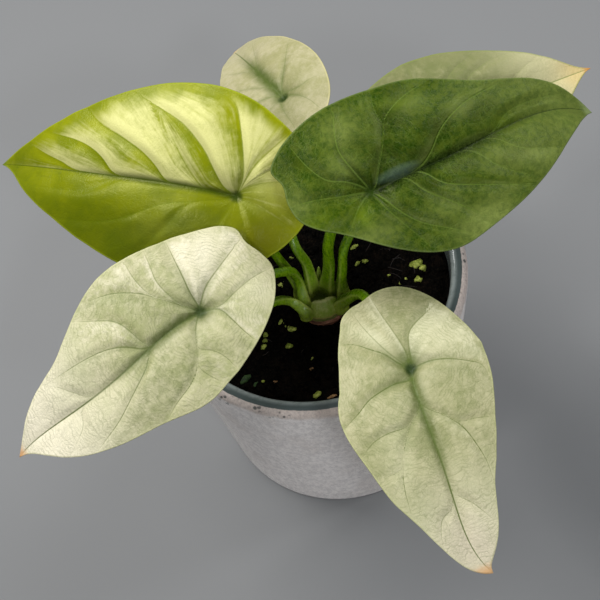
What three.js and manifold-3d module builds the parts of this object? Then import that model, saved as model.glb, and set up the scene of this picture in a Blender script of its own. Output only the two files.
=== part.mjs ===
// Potted jewel alocasia: a stoneware cover pot with a glazed rim, potting soil, a short rhizome,
// six leaf blades on petioles, one spent petiole and two sheath scales.
// Millimetres, +Z up. The origin is the middle of the pot's flat underside.
import * as THREE from "three";
import Module from "manifold-3d";

// Pot
const POT_HEIGHT = 122.3;
const POT_BASE_RADIUS = 57.8;
const POT_BODY_RADIUS = 66.5; // widest, just under the glazed lip
const LIP_OUTER_RADIUS = 64.0; // where the glaze stops on the rounded lip
const LIP_INNER_RADIUS = 59.8;
const POT_SIDES = 64;
const FLOOR_THICKNESS = 5.0;

// Soil and rhizome
const SOIL_LEVEL = 110.0;
const SOIL_GAP = 0.35; // between the soil and everything it touches
const SOIL_SIDES = 44;
const CROWN = [2.0, -9.2]; // centre of the rhizome on the soil, towards the front of the pot
const CROWN_RADIUS = 11.2;

// Leaves
const BLADE_THICKNESS = 1.1; // beside the petiole
const MARGIN_THICKNESS = 0.7;
const FOLD_WIDTH = 7.0; // half width of the groove along the midrib
const DIMPLE_RADIUS2 = 72.0; // spread of the dimple where the petiole joins, mm2

// Each blade has a local frame: "at" is where the petiole joins, "along" runs to the tip, "up" is
// the face's normal. The midrib is an arc in that plane (tipBend, baseBend, radians per mm) with
// a sideways sway. The outline gives (distance along, distance across) of the margin from the tip
// all the way round.
const LEAF_LEFT = {
  at: [-20.42, 2.45, 186],
  along: [-0.83236, 0.5206, 0.19015],
  up: [-0.12552, -0.51123, 0.85023],
  tipBend: 0.006,
  baseBend: 0.006,
  valley: 2,
  arch: 0.004,
  dimple: 2.5,
  sway: [0.05872, 0.002676, -2.972e-05, 1.189e-07],
  outline: [
    [113.1, 0.1], [109.3, 1], [105.6, 2.5], [102, 4.4], [98.5, 6.6], [95, 8.9], [91.3, 11.2],
    [87.4, 13.4], [83.2, 15.6], [78.8, 17.7], [74.2, 19.8], [69.5, 22], [64.4, 24.3], [59.2, 26.6],
    [53.6, 28.8], [47.8, 31], [41.7, 33], [35.2, 34.7], [28.5, 36], [21.4, 36.8], [14.1, 36.8],
    [6.7, 35.6], [-0.5, 32.9], [-7.2, 28.8], [-13.3, 23.8], [-19, 18], [-23.9, 11.6], [-27.4, 4.2],
    [-28.8, -3.9], [-28.1, -12.1], [-24.6, -19.4], [-19, -25.3], [-12.4, -29.9], [-5.2, -33.4], [2, -36.3],
    [9.4, -38.4], [16.8, -39.8], [24.1, -40.5], [31.2, -40.5], [38.1, -39.8], [44.6, -38.4], [50.8, -36.5],
    [56.6, -34.4], [62.1, -31.9], [67.2, -29.4], [72, -26.7], [76.6, -24.1], [80.8, -21.4], [84.9, -18.7],
    [88.8, -16.1], [92.5, -13.6], [96.1, -11.1], [99.6, -8.7], [103, -6.4], [106.4, -4.2], [109.7, -2.1],
  ],
};
const LEAF_FRONT_LEFT = {
  at: [-43.93, -37.43, 178],
  along: [-0.95157, -0.30075, -0.0638],
  up: [0.04591, -0.34419, 0.93778],
  tipBend: 0.005,
  baseBend: 0.006,
  valley: 2,
  arch: 0.003,
  dimple: 2.5,
  sway: [-0.1444, 0.01428, -0.0002605, 1.432e-06],
  outline: [
    [89.8, -0.2], [86.7, 1.3], [83.8, 3.1], [81.1, 5.2], [78.4, 7.5], [75.6, 9.8], [72.7, 12.1],
    [69.4, 14.1], [65.8, 15.9], [62, 17.4], [57.9, 18.6], [53.7, 19.8], [49.2, 20.9], [44.5, 21.9],
    [39.5, 23], [34.2, 24.3], [29, 26], [23.6, 27.9], [17.8, 29.6], [11.7, 29.9], [5.5, 28.4],
    [-0.6, 26.2], [-6.7, 23.5], [-12.9, 20.3], [-19.1, 16.4], [-25, 11.6], [-29.5, 5.7], [-32.2, -0.5],
    [-31.1, -7.1], [-28.6, -13.5], [-28.2, -19.9], [-23.5, -24.3], [-17.6, -26.6], [-11.7, -28.2], [-5.5, -29.7],
    [1, -30.6], [7.3, -31.4], [13.5, -32.5], [19.6, -33.6], [25.6, -33.8], [31.3, -32.9], [36.5, -31.3],
    [41.4, -29], [45.8, -26.3], [49.9, -23.6], [53.7, -21], [57.6, -18.8], [61.5, -17.1], [65.3, -15.5],
    [69, -13.9], [72.3, -12], [75.4, -10], [78.4, -7.9], [81.2, -5.7], [84, -3.7], [86.8, -1.8],
  ],
};
const LEAF_FRONT = {
  at: [25.78, -73.56, 160],
  along: [0.11334, -0.98254, -0.14754],
  up: [0.08616, -0.13822, 0.98665],
  tipBend: 0.006,
  baseBend: 0.005,
  valley: 2,
  arch: 0.004,
  dimple: 2.5,
  sway: [-0.3324, 0.01523, -0.0003117, 2.178e-06],
  outline: [
    [80.3, 0.6], [77.6, 1.6], [75.3, 3.8], [73, 6.1], [70.5, 8.3], [67.7, 10.3], [64.6, 12],
    [61.4, 13.3], [57.6, 14.3], [53.8, 15.3], [49.9, 16.3], [46.1, 17.7], [42.2, 19.4], [37.8, 21],
    [33.1, 22.8], [28.1, 24.4], [23.3, 26.1], [18.2, 27.8], [12.9, 29.1], [7.1, 29.4], [1.3, 28.6],
    [-4.5, 27.1], [-10.7, 25.2], [-17.7, 22.3], [-24.6, 18.1], [-30.2, 12.6], [-33.2, 6.4], [-33.6, -0.5],
    [-31.7, -7.1], [-30.7, -12.3], [-28, -16.6], [-22.9, -19.3], [-18.3, -21.6], [-13.7, -23.5], [-8.8, -25.1],
    [-3.4, -27.1], [2.4, -29], [8.4, -29.8], [14.2, -29.5], [19.6, -28.6], [24.8, -27.3], [29.8, -25.9],
    [34.8, -24.5], [39.8, -22.9], [44.1, -21.2], [48, -19], [51.4, -17], [54.8, -15], [58.2, -13.3],
    [61.6, -11.7], [64.9, -10.2], [68.2, -8.9], [71.3, -7.6], [74.4, -6.3], [77.2, -4.6], [79.4, -2.3],
  ],
};
const LEAF_RIGHT = {
  at: [28.3, -19.53, 198],
  along: [0.97083, 0.2391, 0.01784],
  up: [0.08536, -0.41422, 0.90616],
  tipBend: 0.005,
  baseBend: 0.006,
  valley: 2.4,
  arch: 0.004,
  dimple: 2.5,
  sway: [-0.06019, -0.00101, 6.271e-05, -5.62e-07],
  outline: [
    [100.4, 0.1], [98, 2.9], [95.3, 5.4], [92.3, 7.6], [89.1, 9.5], [85.6, 11.1], [81.8, 12.5],
    [77.9, 13.8], [73.8, 15], [69.5, 16.2], [65.1, 17.5], [60.5, 19], [55.8, 21], [51.2, 23.5],
    [46.5, 26.3], [41.6, 29.1], [36.3, 31.8], [30.5, 33.7], [24.2, 34.8], [17.7, 35.5], [11, 35.9],
    [4.1, 35.9], [-2.9, 35.5], [-10, 34.2], [-16.9, 32.1], [-23.6, 28.9], [-29, 23.9], [-27.6, 16.9],
    [-29.1, 9.6], [-28.1, 2.2], [-23.5, -3.7], [-17.7, -8.4], [-12.2, -13.4], [-7, -18.5], [-1.6, -23.2],
    [4.2, -27.1], [10.5, -30], [17, -31.7], [23.5, -31.9], [29.8, -31.1], [35.8, -30.1], [41.6, -29.1],
    [47.2, -28], [52.6, -26.8], [57.6, -25.4], [62.4, -23.8], [66.9, -21.9], [71, -19.8], [74.9, -17.6],
    [78.5, -15.3], [81.9, -13], [85.2, -10.7], [88.3, -8.5], [91.4, -6.2], [94.4, -4.1], [97.4, -1.9],
  ],
};
const LEAF_BACK_RIGHT = {
  at: [60.94, 16.55, 180],
  along: [0.97835, 0.20683, -0.00642],
  up: [0.07665, -0.33338, 0.93967],
  tipBend: 0.005,
  baseBend: 0.006,
  valley: 2,
  arch: 0.004,
  dimple: 2.5,
  sway: [-0.09395, -0.003376, 0.0001015, -6.708e-07],
  outline: [
    [74.7, 0.1], [72, 0.9], [69.4, 1.9], [66.8, 3.2], [64.3, 4.7], [61.8, 6.3], [59.2, 8.1],
    [56.6, 10], [53.8, 11.8], [50.9, 13.7], [47.8, 15.5], [44.5, 17.2], [40.9, 18.9], [37.1, 20.4],
    [33.1, 21.9], [28.9, 23.2], [24.4, 24.3], [19.8, 25.2], [14.9, 25.9], [9.8, 26.2], [4.6, 26.3],
    [-0.7, 26], [-6.2, 25.4], [-11.7, 24.4], [-17.1, 22.8], [-22.2, 20.2], [-26.2, 16], [-28.6, 10.7],
    [-29, 4.9], [-27.4, -0.7], [-24.5, -5.8], [-20.8, -10.2], [-16.5, -14], [-11.7, -17.1], [-6.7, -19.5],
    [-1.5, -21.2], [3.7, -22.4], [8.9, -23.1], [14, -23.3], [18.9, -23], [23.6, -22.4], [28.1, -21.5],
    [32.4, -20.4], [36.5, -19], [40.3, -17.6], [43.9, -16], [47.3, -14.4], [50.5, -12.7], [53.5, -11],
    [56.3, -9.4], [59.1, -7.7], [61.7, -6], [64.3, -4.4], [66.8, -3], [69.4, -1.7], [72, -0.6],
  ],
};
const LEAF_BACK = {
  at: [7.56, 61.09, 166],
  along: [-0.26703, 0.91361, -0.30662],
  up: [-0.32957, 0.21241, 0.91993],
  tipBend: 0.00616,
  baseBend: 0.006,
  valley: 2,
  arch: 0.005,
  dimple: 2.5,
  sway: [0, 0, 0, 0],
  outline: [
    [76.5, -0.8], [74.2, 0.6], [71.7, 1.9], [69.2, 3.2], [66.7, 4.6], [64, 5.9], [61.3, 7.2],
    [58.5, 8.6], [55.5, 9.9], [52.4, 11.3], [49.2, 12.6], [45.7, 14], [42.1, 15.3], [38.3, 16.5],
    [34.4, 17.7], [30.2, 18.8], [25.8, 19.8], [21.2, 20.5], [16.4, 21.1], [11.5, 21.4], [6.4, 21.4],
    [1.1, 20.9], [-4.1, 19.8], [-9.3, 18.2], [-14.3, 15.9], [-19.1, 12.9], [-23.4, 9.3], [-26.8, 4.7],
    [-28.1, -0.8], [-26.8, -6.4], [-23.6, -11.1], [-19.3, -14.8], [-14.5, -17.6], [-9.3, -19.7], [-4.1, -21.2],
    [1.2, -22.2], [6.4, -22.8], [11.5, -22.9], [16.4, -22.7], [21.2, -22.2], [25.8, -21.4], [30.2, -20.5],
    [34.4, -19.4], [38.4, -18.2], [42.1, -16.9], [45.7, -15.6], [49.2, -14.2], [52.4, -12.9], [55.5, -11.5],
    [58.5, -10.1], [61.3, -8.8], [64, -7.5], [66.7, -6.1], [69.2, -4.8], [71.7, -3.5], [74.2, -2.2],
  ],
};

const BLADES = [
  ["leaf_left", LEAF_LEFT],
  ["leaf_front_left", LEAF_FRONT_LEFT],
  ["leaf_front", LEAF_FRONT],
  ["leaf_right", LEAF_RIGHT],
  ["leaf_back_right", LEAF_BACK_RIGHT],
  ["leaf_back", LEAF_BACK],
];

// Petioles from the rhizome to the underside of each blade; radius at the base and at the top.
const PETIOLES = [
  { name: "petiole_left", base: 2.1, top: 1.6, path: [[-5.7, -3.9, 113.5], [-5.9, -3.4, 119], [-8.9, 1.9, 124.5], [-12.6, 3, 141], [-15.2, 4.3, 162], [-18.4, 5.9, 175], [-19.9, 4.4, 182.7]] },
  { name: "petiole_front_left", base: 2.2, top: 1.6, path: [[-5.2, -8.9, 113.5], [-5.1, -8.8, 118.5], [-5.8, -4.8, 128], [-10, -8.1, 141], [-25, -18.5, 157], [-40.1, -31.1, 167.8], [-44.1, -36, 174.1]] },
  { name: "petiole_front", base: 2.2, top: 1.7, path: [[8.4, -14.9, 113.5], [8.7, -14.8, 115.8], [11.8, -16.6, 120.5], [16, -20, 128], [19, -27.3, 135], [22, -48, 146], [24.2, -66, 150.2], [25.4, -72.9, 155.6]] },
  { name: "petiole_right", base: 2.6, top: 2, path: [[5.6, -6.2, 113.5], [5.8, -6.6, 120], [8, -8.1, 136], [9.6, -9.9, 156], [15.5, -11.5, 176], [24.3, -14.8, 186.8], [28, -17.9, 194.4]] },
  { name: "petiole_back_right", base: 2.2, top: 1.7, path: [[10.7, -9.6, 113.5], [10.9, -9.6, 119], [12.8, -9.8, 133], [16.6, -7.6, 149], [32, 2.5, 161.5], [53.4, 15.4, 168.1], [60.6, 18.1, 175.7]] },
  { name: "petiole_back", base: 2.2, top: 1.7, path: [[-0.5, -4, 113.5], [-0.6, -4.2, 119.5], [-0.7, 0.6, 129], [-3.4, 4.5, 140], [-2.5, 22, 147.5], [2.5, 42, 154], [8.5, 55.2, 156], [9, 60.2, 162.1]] },
  { name: "petiole_spent", base: 2.1, top: 1.8, path: [[-5.9, -13.7, 113.5], [-6.4, -13.9, 116.5], [-11, -10, 120], [-17, -11.8, 126], [-23.3, -15.8, 130]] },
];
const PETIOLE_SIDES = 8;
const PETIOLE_RINGS = 15;

const wasm = await Module();
wasm.setup();

const vec = (a) => new THREE.Vector3(a[0], a[1], a[2]);

function finish(name, geometry, color, roughness) {
  const mesh = new THREE.Mesh(
    geometry,
    new THREE.MeshStandardMaterial({ color, roughness, metalness: 0 }),
  );
  mesh.name = name;
  return mesh;
}

function indexed(positions, faces) {
  const g = new THREE.BufferGeometry();
  g.setAttribute("position", new THREE.Float32BufferAttribute(positions, 3));
  g.setIndex(faces);
  g.computeVertexNormals();
  return g;
}

// Welds seams and poles so that a surface of revolution is one closed mesh.
function toSolid(geometry) {
  const flat = geometry.index ? geometry.toNonIndexed() : geometry;
  const p = flat.getAttribute("position");
  const found = new Map();
  const verts = [];
  const tris = [];
  for (let i = 0; i < p.count; i += 3) {
    const t = [];
    for (let j = 0; j < 3; j++) {
      const c = [p.getX(i + j), p.getY(i + j), p.getZ(i + j)];
      const key = c.map((x) => Math.round(x * 1000)).join();
      if (!found.has(key)) {
        found.set(key, verts.length / 3);
        verts.push(...c);
      }
      t.push(found.get(key));
    }
    if (t[0] !== t[1] && t[1] !== t[2] && t[0] !== t[2]) tris.push(...t);
  }
  return new wasm.Manifold(
    new wasm.Mesh({
      numProp: 3,
      vertProperties: new Float32Array(verts),
      triVerts: new Uint32Array(tris),
    }),
  );
}

function fromSolid(solid) {
  const m = solid.getMesh();
  const out = [];
  for (let i = 0; i < m.numVert; i++)
    for (let j = 0; j < 3; j++) out.push(m.vertProperties[i * m.numProp + j]);
  return indexed(out, Array.from(m.triVerts));
}

// A profile of [radius, height] pairs turned about the Z axis, outside surface outwards.
function turned(profile, sides) {
  const g = new THREE.LatheGeometry(
    profile.map(([r, z]) => new THREE.Vector2(r, z)),
    sides,
  );
  g.rotateX(Math.PI / 2);
  return g;
}

// ---- pot ----
const potProfile = [
  [0, 0],
  [POT_BASE_RADIUS - 3.4, 0],
  [POT_BASE_RADIUS - 1.7, 0.5],
  [POT_BASE_RADIUS - 0.6, 1.7],
  [POT_BASE_RADIUS, 3.8],
  [60.2, 38.0],
  [63.0, 74.0],
  [65.4, 103.0],
  [66.3, 114.5],
  [POT_BODY_RADIUS, 118.2],
  [66.2, 119.9],
  [65.3, 121.3],
  [LIP_OUTER_RADIUS, 122.1],
  [62.2, POT_HEIGHT],
  [60.7, 122.0],
  [LIP_INNER_RADIUS, 121.1],
  [59.3, 119.0],
  [58.9, 114.0],
  [57.6, 90.0],
  [52.6, 12.0],
  [51.0, 7.6],
  [47.5, FLOOR_THICKNESS],
  [0, FLOOR_THICKNESS],
];
const pot = fromSolid(toSolid(turned(potProfile, POT_SIDES)));

// ---- rhizome: a squat stump, mostly under the soil ----
const rhizomeProfile = [
  [0, 101.0],
  [8.2, 101.0],
  [10.2, 103.4],
  [CROWN_RADIUS, 107.2],
  [CROWN_RADIUS, 110.4],
  [10.6, 111.9],
  [9.4, 112.8],
  [0, 113.1],
];
const rhizome = turned(rhizomeProfile, 28);
{
  // five blunt ridges, the scars of old petioles
  const p = rhizome.getAttribute("position");
  for (let i = 0; i < p.count; i++) {
    const x = p.getX(i);
    const y = p.getY(i);
    const a = Math.atan2(y, x);
    const k = 1 - 0.035 * (1 + Math.cos(5 * a + 0.7));
    p.setXY(i, x * k, y * k);
  }
}
rhizome.translate(CROWN[0], CROWN[1], 0);
const rhizomeSolid = toSolid(rhizome);

// ---- soil: fills the pot, uneven on top, with a socket for the rhizome ----
const soilTop = [
  [58.45, SOIL_LEVEL],
  [54.5, SOIL_LEVEL],
  [46.5, SOIL_LEVEL],
  [38.5, SOIL_LEVEL],
  [30.5, SOIL_LEVEL],
  [22.0, SOIL_LEVEL],
  [11.0, SOIL_LEVEL],
  [0, SOIL_LEVEL],
];
const soilGeometry = turned(
  [
    [0, FLOOR_THICKNESS + SOIL_GAP],
    [47.3, FLOOR_THICKNESS + SOIL_GAP],
    [50.6, 7.8],
    [52.2, 12.0],
    [57.2, 90.0],
    ...soilTop,
  ],
  SOIL_SIDES,
);
{
  const p = soilGeometry.getAttribute("position");
  for (let i = 0; i < p.count; i++) {
    if (p.getZ(i) < SOIL_LEVEL - 0.01) continue;
    const x = p.getX(i);
    const y = p.getY(i);
    const r = Math.hypot(x, y);
    const bump =
      0.9 * Math.sin(x * 0.23 + 1.1) * Math.cos(y * 0.19 - 0.4) +
      0.6 * Math.sin(x * 0.51 - y * 0.37 + 2.0) +
      0.4 * Math.cos(x * 0.83 + y * 0.71);
    p.setZ(i, SOIL_LEVEL + (r > 57 ? 0.25 : 1) * bump * 0.7 - 0.6);
  }
}
const socket = turned(
  rhizomeProfile.map(([r, z], i) => [
    r === 0 ? 0 : CROWN_RADIUS + 0.45,
    i < 2 ? z - SOIL_GAP - 0.1 : 116,
  ]).filter((q, i) => i < 2 || i > 5),
  28,
);
socket.translate(CROWN[0], CROWN[1], 0);
const soil = fromSolid(toSolid(soilGeometry).subtract(toSolid(socket)));

// ---- leaf blades ----
function bladePoint(leaf, frame, s, b) {
  const k = s > 0 ? leaf.tipBend : leaf.baseBend;
  const turn = k * s;
  const x = Math.sin(turn) / k;
  const z = -(1 - Math.cos(turn)) / k;
  const c = leaf.sway;
  const t = Math.max(s, 0);
  const sway = c[0] * s + c[1] * t ** 2 + c[2] * t ** 3 + c[3] * t ** 4;
  const fade = 1 / (1 + Math.exp(-(s + 8) / 5));
  const lift =
    leaf.valley * (1 - Math.exp(-((b / FOLD_WIDTH) ** 2))) * fade -
    leaf.arch * b * b -
    leaf.dimple * Math.exp(-(s * s + b * b) / DIMPLE_RADIUS2);
  const p = frame.at.clone();
  p.addScaledVector(frame.e1, x + lift * Math.sin(turn));
  p.addScaledVector(frame.n, z + lift * Math.cos(turn));
  p.addScaledVector(frame.e2, sway + b);
  return p;
}

function bladeNormal(leaf, frame, s, b) {
  const d = 0.05;
  const u = bladePoint(leaf, frame, s + d, b).sub(bladePoint(leaf, frame, s - d, b));
  const v = bladePoint(leaf, frame, s, b + d).sub(bladePoint(leaf, frame, s, b - d));
  return u.cross(v).normalize();
}

// Rings of vertices shrink from the margin to the petiole joint, on both faces of the blade.
const RING_SCALES = [1, 0.8, 0.5, 0.22];
function blade(leaf) {
  const e1 = vec(leaf.along).normalize();
  const n = vec(leaf.up);
  n.addScaledVector(e1, -n.dot(e1)).normalize();
  const frame = { at: vec(leaf.at), e1, n, e2: n.clone().cross(e1) };
  const count = leaf.outline.length;
  const out = [];
  const faces = [];
  const sheet = (side) => {
    const start = out.length / 3;
    for (const k of RING_SCALES)
      for (const [s, b] of leaf.outline) {
        const half = 0.5 * (k === 1 ? MARGIN_THICKNESS : BLADE_THICKNESS);
        const p = bladePoint(leaf, frame, s * k, b * k);
        p.addScaledVector(bladeNormal(leaf, frame, s * k, b * k), side * half);
        out.push(p.x, p.y, p.z);
      }
    const p = bladePoint(leaf, frame, 0, 0);
    p.addScaledVector(bladeNormal(leaf, frame, 0, 0), 0.5 * side * BLADE_THICKNESS);
    out.push(p.x, p.y, p.z);
    return start;
  };
  const top = sheet(1);
  const under = sheet(-1);
  const rings = RING_SCALES.length;
  for (let r = 0; r < rings; r++)
    for (let i = 0; i < count; i++) {
      const j = (i + 1) % count;
      const a = r * count + i;
      const b = r * count + j;
      if (r === rings - 1) {
        const c = rings * count;
        faces.push(top + a, top + b, top + c, under + b, under + a, under + c);
        continue;
      }
      const c = (r + 1) * count + i;
      const d = (r + 1) * count + j;
      faces.push(top + a, top + b, top + d, top + a, top + d, top + c);
      faces.push(under + b, under + a, under + d, under + a, under + c, under + d);
    }
  for (let i = 0; i < count; i++) {
    const j = (i + 1) % count;
    faces.push(top + j, top + i, under + i, top + j, under + i, under + j);
  }
  return indexed(out, faces);
}

// ---- petioles and scales: tapered, closed tubes along a curve ----
function stalk(path, radius, sides, rings, squash = 1) {
  const curve = new THREE.CatmullRomCurve3(path.map(vec), false, "catmullrom", 0.5);
  const at = [];
  for (let i = 0; i <= rings; i++) at.push(curve.getPoint(i / rings));
  const tangent = at.map((_, i) => curve.getTangent(i / rings));
  let side = new THREE.Vector3(1, 0, 0);
  const out = [];
  const faces = [];
  at.forEach((p, i) => {
    side.addScaledVector(tangent[i], -side.dot(tangent[i])).normalize();
    const other = tangent[i].clone().cross(side);
    const r = radius(i / rings);
    for (let j = 0; j < sides; j++) {
      const a = (2 * Math.PI * j) / sides;
      const q = p.clone();
      q.addScaledVector(side, r * Math.cos(a));
      q.addScaledVector(other, r * squash * Math.sin(a));
      out.push(q.x, q.y, q.z);
    }
  });
  out.push(at[0].x, at[0].y, at[0].z);
  out.push(at[rings].x, at[rings].y, at[rings].z);
  const first = (rings + 1) * sides;
  for (let i = 0; i < rings; i++)
    for (let j = 0; j < sides; j++) {
      const k = (j + 1) % sides;
      const a = i * sides + j;
      const b = i * sides + k;
      faces.push(a, b, b + sides, a, b + sides, a + sides);
    }
  for (let j = 0; j < sides; j++) {
    const k = (j + 1) % sides;
    faces.push(first, k, j);
    faces.push(first + 1, rings * sides + j, rings * sides + k);
  }
  return indexed(out, faces);
}

// The stalk is stoutest in its sheath, at the foot.
const petioleRadius = (base, top) => (t) =>
  top + (base - top) * (1 - t) ** 1.5 + 0.25 * Math.exp(-((t / 0.08) ** 2));

// A curved scale that wraps the front of the crown.
function scale(center, radius, from, to, foot, height, thickness) {
  const cols = 12;
  const rows = 4;
  const out = [];
  const faces = [];
  for (const side of [1, -1])
    for (let i = 0; i <= cols; i++) {
      const u = (2 * i) / cols - 1;
      const a = ((from + ((to - from) * i) / cols) * Math.PI) / 180;
      const h = 2.2 + (height - 2.2) * Math.sqrt(1 - 0.96 * u * u);
      for (let j = 0; j <= rows; j++) {
        const v = j / rows;
        const r =
          radius - 1.6 * v * v + side * 0.5 * thickness * (1 - 0.45 * v);
        out.push(
          center[0] + r * Math.cos(a),
          center[1] + r * Math.sin(a),
          foot + h * v,
        );
      }
    }
  const n = (cols + 1) * (rows + 1);
  const id = (s, i, j) => s * n + i * (rows + 1) + j;
  const quad = (a, b, c, d) => faces.push(a, b, c, a, c, d);
  for (let i = 0; i < cols; i++)
    for (let j = 0; j < rows; j++) {
      quad(id(0, i, j), id(0, i + 1, j), id(0, i + 1, j + 1), id(0, i, j + 1));
      quad(id(1, i + 1, j), id(1, i, j), id(1, i, j + 1), id(1, i + 1, j + 1));
    }
  for (let i = 0; i < cols; i++) {
    quad(id(0, i, rows), id(0, i + 1, rows), id(1, i + 1, rows), id(1, i, rows));
    quad(id(0, i + 1, 0), id(0, i, 0), id(1, i, 0), id(1, i + 1, 0));
  }
  for (let j = 0; j < rows; j++) {
    quad(id(0, cols, j), id(1, cols, j), id(1, cols, j + 1), id(0, cols, j + 1));
    quad(id(1, 0, j), id(0, 0, j), id(0, 0, j + 1), id(1, 0, j + 1));
  }
  return indexed(out, faces);
}

const group = new THREE.Group();
group.name = "potted_alocasia";
group.add(finish("pot", pot, "#8f8a86", 0.7));
group.add(finish("soil", soil, "#1c1612", 0.95));
group.add(finish("rhizome", fromSolid(rhizomeSolid), "#6b4a3c", 0.8));
const LEAF_COLORS = ["#9ba62c", "#c3c98f", "#bcc488", "#4d6e26", "#b3b57a", "#cdc69a"];
BLADES.forEach(([name, leaf], i) =>
  group.add(finish(name, blade(leaf), LEAF_COLORS[i], 0.42)),
);
for (const p of PETIOLES)
  group.add(
    finish(
      p.name,
      stalk(p.path, petioleRadius(p.base, p.top), PETIOLE_SIDES, PETIOLE_RINGS),
      "#4f7a1c",
      0.45,
    ),
  );
group.add(
  finish(
    "sheath_tip",
    stalk(
      [
        [3.2, -1.0, 113.5],
        [3.2, -1.0, 118.5],
        [3.6, -2.2, 124.5],
        [3.9, -3.7, 130.5],
      ],
      (t) => 1.5 * Math.sqrt(1 - 0.93 * t),
      8,
      8,
      0.7,
    ),
    "#7d8f3a",
    0.5,
  ),
);
group.add(
  finish(
    "sheath_front",
    scale([2.0, -9.0], 5.7, 208, 330, 113.5, 8.6, 1.0),
    "#8fa04c",
    0.5,
  ),
);

export default group;
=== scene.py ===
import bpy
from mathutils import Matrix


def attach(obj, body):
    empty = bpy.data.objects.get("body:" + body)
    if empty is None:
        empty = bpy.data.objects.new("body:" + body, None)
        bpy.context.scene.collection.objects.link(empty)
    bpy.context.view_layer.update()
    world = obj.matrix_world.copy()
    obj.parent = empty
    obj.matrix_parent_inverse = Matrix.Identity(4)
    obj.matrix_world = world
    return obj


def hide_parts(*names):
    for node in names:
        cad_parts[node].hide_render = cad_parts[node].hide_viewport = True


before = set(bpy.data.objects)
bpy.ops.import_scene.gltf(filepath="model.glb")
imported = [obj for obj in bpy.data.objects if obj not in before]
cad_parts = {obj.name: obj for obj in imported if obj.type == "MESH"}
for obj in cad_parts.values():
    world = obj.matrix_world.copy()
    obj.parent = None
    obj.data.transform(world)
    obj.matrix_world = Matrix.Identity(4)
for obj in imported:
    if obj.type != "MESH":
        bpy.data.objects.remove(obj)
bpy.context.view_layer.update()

import math

import bpy
import numpy as np
from mathutils import Matrix

# A jewel alocasia in a stoneware cover pot. Shapes are worked out in millimetres and written as metres.
MM = 0.001
scene = bpy.context.scene
scene.view_settings.view_transform = "Standard"
scene.view_settings.look = "None"
scene.view_settings.exposure = 0.0
scene.view_settings.gamma = 1.0

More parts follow.
